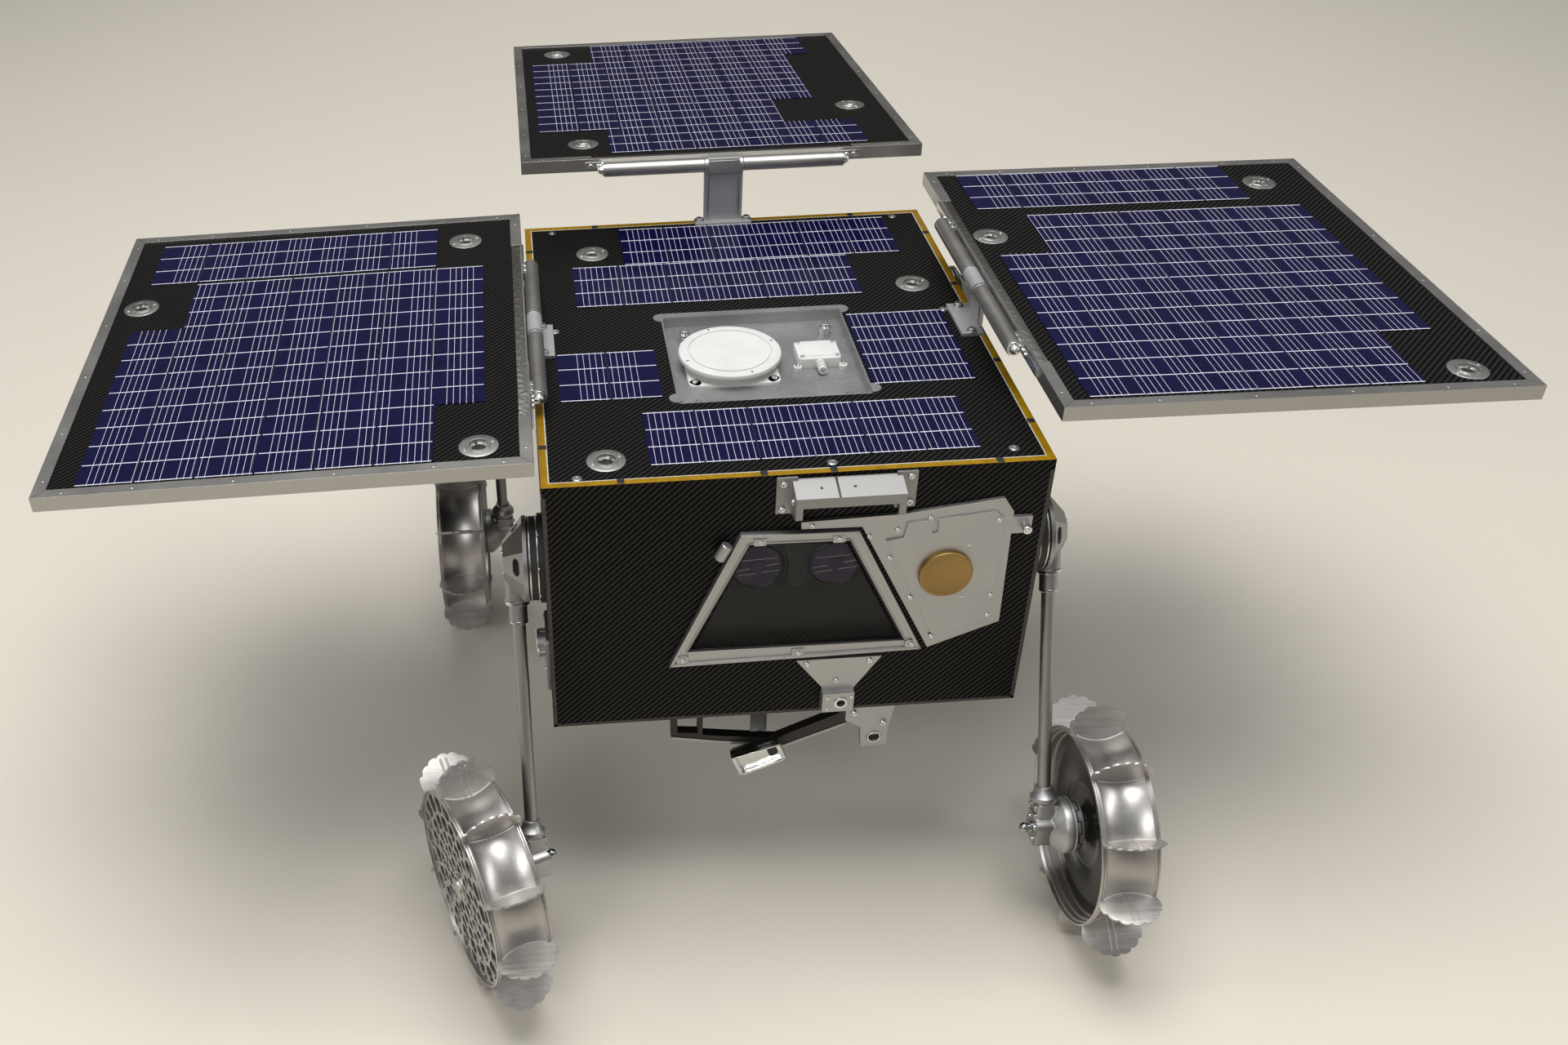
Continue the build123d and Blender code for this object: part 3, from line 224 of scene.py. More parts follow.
# A piece is shaped in millimetres about its own place: x to the right, y up
# and z out of the surface that it stands on
def facing(origin, out, right, scale=1.0):
    out = Vector(out).normalized()
    right = Vector(right)
    right = (right - out * out.dot(right)).normalized()
    turned_to = Matrix((right, out.cross(right), out)).transposed().to_4x4()
    return Matrix.Translation(origin) @ turned_to @ Matrix.Scale(scale, 4)


lid_place = facing((right_x, front_y, lid_top), (0, 0, 1), (1, 0, 0), 0.001)
front_place = facing((right_x, front_y, lid_top), (0, -1, 0), (1, 0, 0), 0.001)


def join(shape, part, where=Matrix()):
    data = bpy.data.meshes.new("part")
    bmesh.ops.transform(part, matrix=where, verts=part.verts)
    part.to_mesh(data)
    part.free()
    shape.from_mesh(data)
    bpy.data.meshes.remove(data)


def set_down(shape, name, where, finish, body, slot, *stands_for):
    bmesh.ops.recalc_face_normals(shape, faces=shape.faces)
    bmesh.ops.transform(shape, matrix=where, verts=shape.verts)
    data = bpy.data.meshes.new(name)
    shape.to_mesh(data)
    shape.free()
    data.materials.append(finish)
    data.shade_smooth()
    data.set_sharp_from_angle(angle=math.radians(34))
    piece = bpy.data.objects.new(name, data)
    bpy.context.scene.collection.objects.link(piece)
    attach(piece, body)
    if stands_for:
        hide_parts(*stands_for)
    return piece


# A half section of radii and heights, spun about z
def turned(section, steps=32, closed=False):
    part = bmesh.new()
    corners = [part.verts.new((radius, 0.0, height)) for radius, height in section]
    edges = [part.edges.new(pair) for pair in zip(corners, corners[1:])]
    if closed:
        edges.append(part.edges.new((corners[-1], corners[0])))
    bmesh.ops.spin(part, geom=corners + edges, axis=(0, 0, 1), cent=(0, 0, 0), steps=steps,
                   angle=math.tau, use_merge=True)
    bmesh.ops.remove_doubles(part, verts=part.verts, dist=0.001)
    bmesh.ops.recalc_face_normals(part, faces=part.faces)
    return part


# A flat outline raised from one height to another, its corners and top edges
# rounded
def plate(outline, low, high, corner=0.0, edge=0.0, segments=4):
    part = bmesh.new()
    face = part.faces.new([part.verts.new((x, y, low)) for x, y in outline])
    if corner:
        bmesh.ops.bevel(part, geom=list(face.verts), offset=corner, offset_type="OFFSET",
                        affect="VERTICES", segments=segments, profile=0.5, material=-1)
    raised = bmesh.ops.extrude_face_region(part, geom=list(part.faces))["geom"]
    raised = [item for item in raised if isinstance(item, bmesh.types.BMVert)]
    bmesh.ops.translate(part, vec=(0, 0, high - low), verts=raised)
    bmesh.ops.recalc_face_normals(part, faces=part.faces)
    if edge:
        top = set(raised)
        rim = [item for item in part.edges if item.verts[0] in top and item.verts[1] in top]
        bmesh.ops.bevel(part, geom=rim, offset=edge, offset_type="OFFSET", affect="EDGES",
                        segments=2, profile=0.5, material=-1)
    return part


def slab(x_low, x_high, y_low, y_high, low, high, corner=0.0, edge=0.0):
    return plate([(x_low, y_low), (x_high, y_low), (x_high, y_high), (x_low, y_high)], low, high, corner, edge)


# Socket-head screws: a turned head with a socket, set in rows of places.
# Columns: x, y, height of the seat
def screws(shape, spots, radius, height):
    for x, y, seat in spots:
        head = turned([
            (0.0, 0.4 * height), (0.5 * radius, 0.4 * height), (0.5 * radius, height),
            (0.84 * radius, height), (radius, 0.78 * height), (radius, 0.0), (0.0, 0.0),
        ], 18)
        join(shape, head, Matrix.Translation((x, y, seat)))
    return shape
# Edges of the box: an amber tape is folded over the lid's edges all round, a
# pale line of glue shows along its inner side, and short dark marks cross it.
# Below, the walls' bare edges show their grey-brown core.
tape, tree, shader, coords = new_material("amber_tape", (0.42, 0.24, 0.04), 0.0, 0.30)
streak = node(tree, "TexNoise", Vector=coords.outputs["Object"], Scale=120.0, Detail=4.0, Roughness=0.6)
tree.links.new(mix(tree, streak.outputs[0], (0.13, 0.066, 0.001, 1.0), (0.35, 0.200, 0.003, 1.0)),
               shader.inputs["Base Color"])
tree.links.new(node(tree, "Bump", Strength=0.2, Distance=0.0003, Height=streak.outputs[0]).outputs[0],
               shader.inputs["Normal"])
shader.inputs["Specular IOR Level"].default_value = 0.25
glue, tree, shader, coords = new_material("glue_line", (0.42, 0.40, 0.34), 0.0, 0.6)
lump = node(tree, "TexNoise", Vector=coords.outputs["Object"], Scale=260.0, Detail=3.0)
tree.links.new(mix(tree, lump.outputs[0], (0.22, 0.20, 0.16, 1.0), (0.58, 0.56, 0.50, 1.0)),
               shader.inputs["Base Color"])
core_edge, tree, shader, coords = new_material("core_edge", (0.13, 0.115, 0.095), 0.0, 0.8)
lump = node(tree, "TexNoise", Vector=coords.outputs["Object"], Scale=420.0, Detail=4.0)
tree.links.new(mix(tree, lump.outputs[0], (0.020, 0.018, 0.015, 1.0), (0.085, 0.075, 0.062, 1.0)),
               shader.inputs["Base Color"])
# Near black for dark marks, seals, seams and inserts; it also serves as painted shade in recesses, openings, notches
# and a bend
black_and_painted_shade, tree, shader, coords = new_material("black_and_painted_shade", (0.008, 0.008, 0.008), 0.0, 0.5)
dust = node(tree, "TexNoise", Vector=coords.outputs["Object"], Scale=300.0, Detail=3.0)
tree.links.new(mix(tree, dust.outputs[0], (0.004, 0.004, 0.004, 1.0), (0.016, 0.015, 0.014, 1.0)),
               shader.inputs["Base Color"])
box_width, box_depth, box_height = (lid_high.x - lid_low.x) * 1000, (lid_high.y - lid_low.y) * 1000, 220.0
tape_width, tape_sheet, glue_width = 5.2, 0.15, 0.9


# A flat band round the lid's four edges, told by its distance in from them
def lid_band(shape, inset, width, low, high):
    right, back = box_width - inset, box_depth - inset
    for x_low, x_high, y_low, y_high in (
        (inset, right, inset, inset + width), (inset, right, back - width, back),
        (inset, inset + width, inset + width, back - width), (right - width, right, inset + width, back - width),
    ):
        join(shape, slab(x_low, x_high, y_low, y_high, low, high))


band = bmesh.new()
lid_band(band, 0.0, tape_width, -0.05, tape_sheet)
set_down(band, "lid_edge_tape", lid_place, tape, "rover_body", "carbon_laminate")
band = bmesh.new()
lid_band(band, tape_width, glue_width, -0.05, 0.1)
set_down(band, "lid_glue_line", lid_place, glue, "rover_body", "carbon_laminate")
marks = bmesh.new()
for start in (52.0, 150.0, 198.0, 313.0):
    join(marks, slab(start, start + 5.0, 0.3, tape_width + 0.6, 0.1, 0.3, edge=0.05))
for start in (60.0, 176.0, 290.0):
    join(marks, slab(start, start + 5.0, box_depth - tape_width - 0.6, box_depth - 0.3, 0.1, 0.3, edge=0.05))
for start in (48.0, 135.0, 262.0, 360.0):
    for x_low in (0.3, box_width - tape_width - 0.6):
        join(marks, slab(x_low, x_low + tape_width + 0.3, start, start + 5.0, 0.1, 0.3, edge=0.05))
set_down(marks, "lid_tape_marks", lid_place, black_and_painted_shade, "rover_body", "carbon_laminate")

# Bare core along the walls' upright and bottom edges
strips = bmesh.new()
for x_low in (0.1, box_width - 2.9):
    join(strips, slab(x_low, x_low + 2.8, -box_height + 0.2, -8.4, -0.05, 0.06))
join(strips, slab(0.1, box_width - 0.1, -box_height + 0.1, -box_height + 2.6, -0.05, 0.06))
set_down(strips, "front_core_edges", front_place, core_edge, "rover_body", "carbon_laminate")
back_place = facing((-right_x, lid_high.y, lid_top), (0, 1, 0), (-1, 0, 0), 0.001)
strips = bmesh.new()
for x_low in (0.1, box_width - 2.9):
    join(strips, slab(x_low, x_low + 2.8, -box_height + 0.2, -8.4, -0.05, 0.06))
join(strips, slab(0.1, box_width - 0.1, -box_height + 0.1, -box_height + 2.6, -0.05, 0.06))
set_down(strips, "back_core_edges", back_place, core_edge, "rover_body", "carbon_laminate")

# Countersunk steel screws through the lid and the walls into inserts
lid_screws = [
    (25.0, 9.5), (201.0, 12.0), (329.0, 17.0), (19.0, 218.0), (331.0, 222.0), (24.0, 399.0), (329.0, 399.0),
    (176.0, 400.0),
]


def flush_screws(shape, spots, radius):
    for x, y in spots:
        join(shape, turned([
            (0.0, -0.05), (0.3 * radius, -0.05), (0.42 * radius, 0.35), (0.9 * radius, 0.35), (radius, 0.2),
            (radius, -0.2), (0.0, -0.2),
        ], 20), Matrix.Translation((x, y, 0.0)))
        join(shape, turned([(1.02 * radius, 0.0), (1.4 * radius, 0.0), (1.35 * radius, 0.12), (1.05 * radius, 0.12)],
                           20, closed=True), Matrix.Translation((x, y, 0.0)))


heads = bmesh.new()
flush_screws(heads, lid_screws, 2.6)
set_down(heads, "lid_screws", lid_place, steel, "rover_body", "satin_aluminium")
heads = bmesh.new()
flush_screws(heads, [(x, z) for x in (14.0, 120.0, 234.0, 340.0) for z in (-16.0, -206.0)], 2.2)
set_down(heads, "back_wall_screws", back_place, steel, "rover_body", "satin_aluminium")
for side, name in ((-1, "right"), (1, "left")):
    side_place = facing((side * abs(right_x), front_y, lid_top), (side, 0, 0), (0, side, 0), 0.001)
    heads = bmesh.new()
    flush_screws(heads, [(side * y, z) for y in (14.0, 140.0, 268.0, 396.0) for z in (-16.0, -206.0)], 2.2)
    set_down(heads, name + "_wall_screws", side_place, steel, "rover_body", "satin_aluminium")
    strips = bmesh.new()
    for y_low in (0.1, box_depth - 2.9):
        low, high = sorted((side * y_low, side * (y_low + 2.8)))
        join(strips, slab(low, high, -box_height + 0.2, -8.4, -0.05, 0.06))
    low, high = sorted((side * 0.1, side * (box_depth - 0.1)))
    join(strips, slab(low, high, -box_height + 0.1, -box_height + 2.6, -0.05, 0.06))
    set_down(strips, name + "_core_edges", side_place, core_edge, "rover_body", "carbon_laminate")

# Wheels: a spun barrel of polished alloy with rolled beads along both lips and
# a waist between them. Ten flat petals stand on it, their feet shaped to the
# waist and welded there, their tips cut in scallops.
polished = new_metal("polished_barrel", (0.52, 0.50, 0.475), 0.33, 900.0, (1.0, 0.25, 1.0), 0.10, 0.0003)
brushed = new_metal("brushed_petal", (0.56, 0.535, 0.505), 0.40, 90.0, (0.25, 4.5, 4.5), 0.40, 0.0003, 0.7)
brushed.node_tree.nodes["Principled BSDF"].inputs["Metallic"].default_value = 0.82
dish_dark, tree, shader, coords = new_material("dark_dish", (0.035, 0.036, 0.038), 0.7, 0.22)
smudge = node(tree, "TexNoise", Vector=coords.outputs["Object"], Scale=45.0, Detail=5.0, Roughness=0.6)
tree.links.new(mix(tree, smudge.outputs[0], (0.030, 0.031, 0.033, 1.0), (0.110, 0.107, 0.100, 1.0)),
               shader.inputs["Base Color"])
tree.links.new(node(tree, "MapRange", Value=smudge.outputs[0], i3=0.14, i4=0.34).outputs[0],
               shader.inputs["Roughness"])
tree.links.new(node(tree, "Bump", Strength=0.05, Distance=0.0005, Height=smudge.outputs[0]).outputs[0],
               shader.inputs["Normal"])

corner_names = ("front_right", "front_left", "rear_right", "rear_left")
wheel_offset = 0.040
petal_count = 10
petal_tip, petal_half, petal_sheet = 101.0, 23.0, 1.6
scallop_count, scallop_depth = 5, 1.8
lip_radius, waist_radius, half_rim = 77.0, 71.0, 22.0
waist_curve = (19.0 ** 2 + 6.0 ** 2) / (2 * 6.0)


# Radius of the barrel at a distance along the axle from its middle
def barrel(along):
    if abs(along) >= 19.0:
        return lip_radius
    return waist_radius + waist_curve - math.sqrt(waist_curve ** 2 - along ** 2)


def rolled_beads(middles):
    return [
        (lip_radius - 0.95 + 0.95 * math.cos(math.radians(angle)), middle + 0.95 * math.sin(math.radians(angle)))
        for middle in middles for angle in (-80, -50, -20, 20, 50, 80)
    ]


def make_barrel():
    waist = [(barrel(0.9 * step), 0.9 * step) for step in range(-20, 21)]
    section = [(75.4, -22.0), (76.0, -22.0)] + rolled_beads((-21.0, -19.1)) + waist
    section += rolled_beads((19.1, 21.0)) + [(76.0, 22.0), (75.4, 22.0), (75.4, 17.6), (69.4, 17.6)]
    section += [
        (69.4, -6.6), (69.8, -9.5), (71.2, -9.9), (71.5, -15.0), (72.9, -15.4), (73.3, -19.2), (74.6, -19.6),
    ]
    return turned(section, 120, closed=True)


def make_petal():
    foot = [(along, barrel(along) - 0.7) for along in (-21.8, -19.5, -16.0, -12.0, -6.0, 0.0, 6.0, 12.0, 16.0, 19.5, 21.8)]
    drop, reach = 11.0, 20.5
    arc = (reach ** 2 + drop ** 2) / (2 * drop)
    sweep = math.asin(reach / arc)
    tip = []
    for step in range(scallop_count * 7 + 1):
        share = step / (scallop_count * 7)
        angle = sweep * (1 - 2 * share)
        wave = abs(math.sin(math.pi * scallop_count * share)) ** 0.55
        radius = arc - scallop_depth * (1 - wave)
        tip.append((radius * math.sin(angle), petal_tip - arc + radius * math.cos(angle)))
    side = [(petal_half - 0.6, 78.0), (petal_half, 81.0), (petal_half, 84.5), (petal_half - 1.0, 88.2)]
    outline = foot + side + tip + [(-x, y) for x, y in reversed(side)]
    petal = plate(outline, -petal_sheet / 2, petal_sheet / 2, edge=0.25)
    for side_of in (-2.2, 2.2):
        ridge = slab(side_of - 0.75, side_of + 0.75, 71.0, 97.0, 0.6, 1.55, corner=0.6, edge=0.5)
        join(petal, ridge)
    for height in (-petal_sheet / 2, petal_sheet / 2):
        weld = bmesh.new()
        bmesh.ops.create_circle(weld, segments=10, radius=0.95)
        bmesh.ops.rotate(weld, matrix=Matrix.Rotation(math.pi / 2, 3, "Y"), verts=weld.verts)
        bmesh.ops.translate(weld, vec=(0, -waist_curve, 0), verts=weld.verts)
        bmesh.ops.rotate(weld, matrix=Matrix.Rotation(-math.radians(34), 3, "Z"), verts=weld.verts)
        bmesh.ops.spin(weld, geom=list(weld.edges), axis=(0, 0, 1), cent=(0, 0, 0), steps=28,
                       angle=math.radians(68))
        join(petal, weld, Matrix.Translation((0, waist_radius + waist_curve, height)))
    return petal


# The face is a thin cast lattice: rings of rounded openings that grow smaller
# towards the hub. Columns: radius, openings, radial size, width
lattice_rings = [
    (18.8, 10, 10.4, 9.0), (29.6, 16, 7.6, 8.6), (39.6, 18, 9.2, 10.8), (51.9, 19, 12.2, 13.8), (66.6, 22, 13.6, 16.0),
]


def make_lattice():
    disc = turned([(0.0, 0.0), (75.3, 0.0), (75.3, 2.4), (0.0, 2.4)], 96)
    cutter = bmesh.new()
    for ring, (radius, count, length, width) in enumerate(lattice_rings):
        for place_round in range(count):
            angle = math.tau * (place_round + 0.5 * (ring % 2)) / count
            stray = noise.noise_vector((radius, place_round * 1.7, 0.3))
            half_length = length / 2 * (1 + 0.16 * stray.x)
            half_width = width / 2 * (1 + 0.14 * stray.y)
            hole = plate([
                (-half_length, -half_width * 0.8), (0.1 * half_length, -half_width), (half_length, -half_width * 0.7),
                (half_length * 0.9, half_width * 0.8), (-0.2 * half_length, half_width), (-half_length, half_width * 0.6),
            ], -1.0, 4.0, corner=min(half_length, half_width) * 0.42, segments=2)
            spot = Matrix.Rotation(angle, 4, "Z") @ Matrix.Translation((radius + 0.4 * stray.z, 0, 0))
            join(cutter, hole, spot @ Matrix.Rotation(0.35 * stray.x, 4, "Z"))
    parts = []
    for name, shape in (("lattice", disc), ("lattice_holes", cutter)):
        data = bpy.data.meshes.new(name)
        shape.to_mesh(data)
        shape.free()
        parts.append(bpy.data.objects.new(name, data))
        bpy.context.scene.collection.objects.link(parts[-1])
    cut = parts[0].modifiers.new("cut", "BOOLEAN")
    cut.object = parts[1]
    cut.operation = "DIFFERENCE"
    cut.solver = "EXACT"
    pierced = bpy.data.meshes.new_from_object(parts[0].evaluated_get(bpy.context.evaluated_depsgraph_get()))
    for part in parts:
        bpy.data.objects.remove(part)
    return pierced


barrel_mesh = make_barrel()
petal_mesh = make_petal()
lattice_data = make_lattice()
for corner in corner_names:
    spin = joints[corner + "_wheel_spin"]
    axle, way = Vector(spin["pos_m"]), Vector(spin["axis"])
    wheel_place = facing(axle + way.normalized() * wheel_offset, way, (0, 0, 1), 0.001)
    body = corner + "_wheel_unit"
    set_down(barrel_mesh.copy(), corner + "_wheel_barrel", wheel_place, polished, body, "polished_aluminium",
             corner + "_wheel")
    petals = bmesh.new()
    for petal in range(petal_count):
        angle = math.tau * (petal + 0.5) / petal_count
        join(petals, petal_mesh.copy(), facing((0, 0, 0), (math.sin(angle), -math.cos(angle), 0), (0, 0, -1)))
    set_down(petals, corner + "_wheel_petals", wheel_place, brushed, body, "polished_aluminium", corner + "_wheel")
    dish = turned([
        (7.1, -13.0), (12.0, -13.0), (12.5, -9.0), (17.0, -7.4), (30.0, -6.8), (31.5, -7.6), (34.0, -7.6),
        (35.5, -6.6), (58.0, -6.6), (60.0, -7.8), (63.0, -7.8), (69.3, -6.6), (69.3, -5.0), (7.1, -5.0),
    ], 96, closed=True)
    set_down(dish, corner + "_wheel_dish", wheel_place, dish_dark, body, "polished_aluminium")
    lattice = bmesh.new()
    lattice.from_mesh(lattice_data)
    bmesh.ops.translate(lattice, vec=(0, 0, 17.6), verts=lattice.verts)
    set_down(lattice, corner + "_wheel_lattice", wheel_place, polished, body, "polished_aluminium",
             corner + "_wheel_face")
    hub = turned([
        (0.0, 20.0), (10.8, 20.0), (10.8, 21.0), (9.0, 21.6), (8.6, 23.2), (6.0, 24.0), (0.0, 24.0),
    ], 36)
    nut = plate([(6.2 * math.cos(math.tau * side / 6), 6.2 * math.sin(math.tau * side / 6)) for side in range(6)],
                21.0, 23.9, edge=0.5)
    join(hub, nut)
    for bolt in range(6):
        angle = math.tau * (bolt + 0.5) / 6
        join(hub, turned([(0.0, 21.6), (1.2, 21.6), (1.4, 21.2), (1.4, 19.9), (0.0, 19.9)], 10),
             Matrix.Translation((9.6 * math.cos(angle), 9.6 * math.sin(angle), 0)))
    set_down(hub, corner + "_wheel_hub_nut", wheel_place, polished, body, "polished_aluminium")
barrel_mesh.free()
petal_mesh.free()

# Shoulders: a round plate screwed to the wall and a grooved disc carry each
# leg. On them turns a faceted cone of machined alloy with recesses in its
# sides, from which the leg's boss leaves. The cone is given a darker copy of
# the alloy as painted shade, and its recesses' floors are painted black as
# painted shade.
leg_length = 0.2392
shoulder_radius = 33.0
# Dark grey for the shoulder discs; the belly bar and the hood's groove take it as painted shade
dark_grey_and_painted_shade = new_metal("shoulder_grey", (0.075, 0.071, 0.066), 0.55, 700.0, (1.0, 1.0, 1.0), 0.08)
# A darker copy of the machined alloy for the cones: painted shade, as the cones stand in shade
shaded_cone_alloy = new_metal("shoulder_alloy_painted_shade", (0.38, 0.375, 0.365), 0.36, 900.0, (1.0, 1.0, 1.0), 0.05)
finish_nodes(dark_grey_and_painted_shade, "shoulder_discs")
leg_bright = new_metal("leg_tube_alloy", (0.42, 0.405, 0.385), 0.40, 1400.0, (1.0, 1.0, 1.0), 0.02)
for corner in corner_names:
    side = -1 if corner.endswith("right") else 1
    swing = joints[corner + "_leg_swing"]
    axle = Vector(joints[corner + "_wheel_spin"]["pos_m"])
    shoulder = Vector(swing["pos_m"])
    down = (axle - shoulder).normalized()
    stand_off = abs(shoulder.x) - abs(right_x)
    finish_nodes(shaded_cone_alloy, corner + "_shoulder_cone")
    finish_nodes(leg_bright, corner + "_leg_tube")
    wall_place = facing((side * abs(right_x), shoulder.y, shoulder.z), (side, 0, 0), (0, side, 0), 0.001)
    cone_base = stand_off * 1000 - 9.1

    # Small bright screws round the base plate and a bead round the disc
    ring = bmesh.new()
    for turn_to in range(8):
        angle = math.tau * (turn_to + 0.5) / 8
        head = turned([(0.0, 1.4), (1.0, 1.4), (1.3, 1.0), (1.3, 0.0), (0.0, 0.0)], 10)
        join(ring, head, Matrix.Translation((31.9 * math.cos(angle), 31.9 * math.sin(angle), 3.6)))
    join(ring, turned([(31.0, 5.4), (31.4, 5.0), (31.4, 4.4), (31.0, 4.0)], 64, closed=True))
    join(ring, turned([(31.0, cone_base - 0.9), (31.5, cone_base - 1.3), (31.5, cone_base - 2.3),
                       (31.0, cone_base - 2.7)], 64, closed=True))
    set_down(ring, corner + "_shoulder_screws", wall_place, steel, "rover_body", "satin_aluminium")

    # The cone's face screws, painted shade on its recesses' floors and the boss's ferrule
    cone_place = facing(shoulder + Vector((side, 0, 0)) * (-0.0091), (side, 0, 0), down, 0.001)
    fittings = bmesh.new()
    cap = turned([(0.0, 18.6), (4.0, 18.6), (5.4, 18.2), (8.0, 18.2), (9.2, 17.6), (9.2, 16.5), (0.0, 16.5)], 24)
    join(fittings, cap)
    for turn_to in range(4):
        angle = math.radians(45 + 90 * turn_to)
        screws(fittings, [(10.4 * math.cos(angle), 10.4 * math.sin(angle), 17.6)], 1.3, 1.4)
    for turn_to in range(8):
        angle = math.radians(22.5 + 45 * turn_to)
        join(fittings, turned([(0.0, 0.9), (1.1, 0.9), (1.1, 0.0), (0.0, 0.0)], 10),
             facing((30.2 * math.cos(angle), 30.2 * math.sin(angle), 2.6), (0, 0, 1), (1, 0, 0)))
    set_down(fittings, corner + "_shoulder_fittings", cone_place, steel, corner + "_leg", "satin_aluminium")
    # Black ovals on the recesses' floors: painted shade
    recess_floor_shade = bmesh.new()
    slope = facing((0, 0, 0), (15.0, 0, 16.63), (0, 1, 0))
    for turn_to in (90, 180, 270):
        oval = plate([(-6.5, -3.5), (6.5, -3.5), (6.5, 3.5), (-6.5, 3.5)], 0.0, 0.3, corner=3.4)
        spot = Matrix.Rotation(math.radians(turn_to), 4, "Z") @ Matrix.Translation((23.6, 0, 8.4)) @ slope
        join(recess_floor_shade, oval, spot @ Matrix.Translation((0, 0, -2.4)))
    set_down(recess_floor_shade, corner + "_shoulder_recess_shade", cone_place, black_and_painted_shade, corner + "_leg", "satin_aluminium")

    leg_place = facing(shoulder, down, (side, 0, 0), 0.001)
    ferrule = turned([
        (8.5, 30.0), (9.1, 30.6), (9.1, 33.4), (8.4, 34.2), (6.2, 34.4), (6.2, 30.0),
    ], 36, closed=True)
    join(ferrule, turned([(6.7, 46.2), (6.95, 46.5), (6.95, 47.9), (6.3, 48.5), (5.05, 49.6), (5.05, 46.2)], 36,
                         closed=True))
    set_down(ferrule, corner + "_leg_ferrule", leg_place, steel, corner + "_leg", "satin_aluminium")

# Hub drives: a flared collar clamps the tube, and under it a cast block holds
# the drive, which widens in a cone to a can with a toothed seam. A chrome ball
# nut closes its inner end.
chrome = new_metal("chrome_ball", (0.42, 0.43, 0.44), 0.09, 200.0, (1.0, 1.0, 1.0), 0.01)
for corner in corner_names:
    side = -1 if corner.endswith("right") else 1
    spin = joints[corner + "_wheel_spin"]
    axle, way = Vector(spin["pos_m"]), Vector(spin["axis"]).normalized()
    shoulder = Vector(joints[corner + "_leg_swing"]["pos_m"])
    up_leg = (shoulder - axle).normalized()
    body = corner + "_leg"
    axle_place = facing(axle, way, (0, 0, 1), 0.001)
    drive = turned([
        (0.0, 2.0), (12.0, 2.0), (13.2, 2.6), (21.2, 11.4), (22.0, 12.6), (22.0, 17.4), (21.4, 18.0), (21.4, 18.8),
        (22.0, 19.4), (22.0, 20.0), (20.4, 20.4), (20.4, 25.6), (19.8, 26.0), (9.0, 26.0), (8.4, 27.0), (7.0, 27.6),
        (7.0, 34.9), (0.0, 34.9),
    ], 64)
    block = slab(-12.0, 12.0, -12.0, 12.0, -9.0, 6.0, corner=5.5, edge=1.2)
    join(drive, block)
    leg_turned = axle_place.inverted() @ facing(axle, up_leg, (way.cross(up_leg)), 0.001)
    collar = turned([
        (0.0, 34.0), (5.3, 34.0), (6.6, 33.6), (6.9, 31.0), (8.2, 28.4), (10.5, 25.8), (10.5, 22.8), (9.8, 22.2),
        (0.0, 22.2),
    ], 40)
    join(drive, collar, leg_turned)
    join(drive, slab(-9.6, 9.6, -7.8, 7.8, 6.0, 20.6, corner=3.0), leg_turned)
    join(drive, slab(-8.6, 8.6, -6.8, 6.8, 20.0, 22.8, corner=2.5), leg_turned)
    join(drive, slab(-3.0, 3.0, 6.0, 9.2, 8.0, 20.0, corner=1.0, edge=0.4), leg_turned)
    set_down(drive, corner + "_drive_housing", axle_place, satin, body, "satin_aluminium", corner + "_hub_drive")

    # Toothed seam round the can, sunk between its two halves
    seam = bmesh.new()
    tooth_count = 14
    for tooth in range(tooth_count):
        angle = math.tau * tooth / tooth_count
        low = 21.4 if tooth % 2 else 23.6
        outward, round_way = (math.cos(angle), math.sin(angle), 0), (-math.sin(angle), math.cos(angle), 0)
        join(seam, slab(-4.6, 4.6, low - 0.45, low + 0.45, 20.2, 20.6), facing((0, 0, 0), outward, round_way))
        angle += math.pi / tooth_count
        outward, round_way = (math.cos(angle), math.sin(angle), 0), (-math.sin(angle), math.cos(angle), 0)
        join(seam, slab(-0.45, 0.45, 21.0, 24.0, 20.2, 20.6), facing((0, 0, 0), outward, round_way))
    set_down(seam, corner + "_drive_seam", axle_place, black_and_painted_shade, body, "satin_aluminium")

    # Ball nut on its stem, and the clamp's bolts
    ball = turned([(4.0 * math.sin(math.radians(angle)), -15.0 - 4.0 * math.cos(math.radians(angle)))
                   for angle in range(0, 150, 10)] + [(3.2, -11.6), (4.6, -10.8), (4.6, -9.0), (0.0, -9.0)], 32)
    set_down(ball, corner + "_drive_ball_nut", axle_place, chrome, body, "satin_aluminium")
    bolts = bmesh.new()
    for across_of, along_of in ((-5.6, 11.0), (5.6, 11.0), (-5.6, 17.5), (5.6, 17.5)):
        for face in (-1, 1):
            head = turned([(0.0, 0.6), (0.8, 0.6), (0.8, 1.6), (1.7, 1.6), (2.0, 1.2), (2.0, 0.0), (0.0, 0.0)], 14)
            join(bolts, head, leg_turned @ facing((across_of, face * 7.7, along_of), (0, face, 0), (1, 0, 0)))
    for turn_to in range(4):
        angle = math.radians(45 + 90 * turn_to)
        head = turned([(0.0, 0.6), (0.8, 0.6), (0.8, 1.6), (1.6, 1.6), (1.8, 1.2), (1.8, 0.0), (0.0, 0.0)], 14)
        join(bolts, head, facing((8.8 * math.cos(angle), 8.8 * math.sin(angle), -9.0), (0, 0, -1), (1, 0, 0)))
    set_down(bolts, corner + "_drive_bolts", axle_place, steel, body, "satin_aluminium")

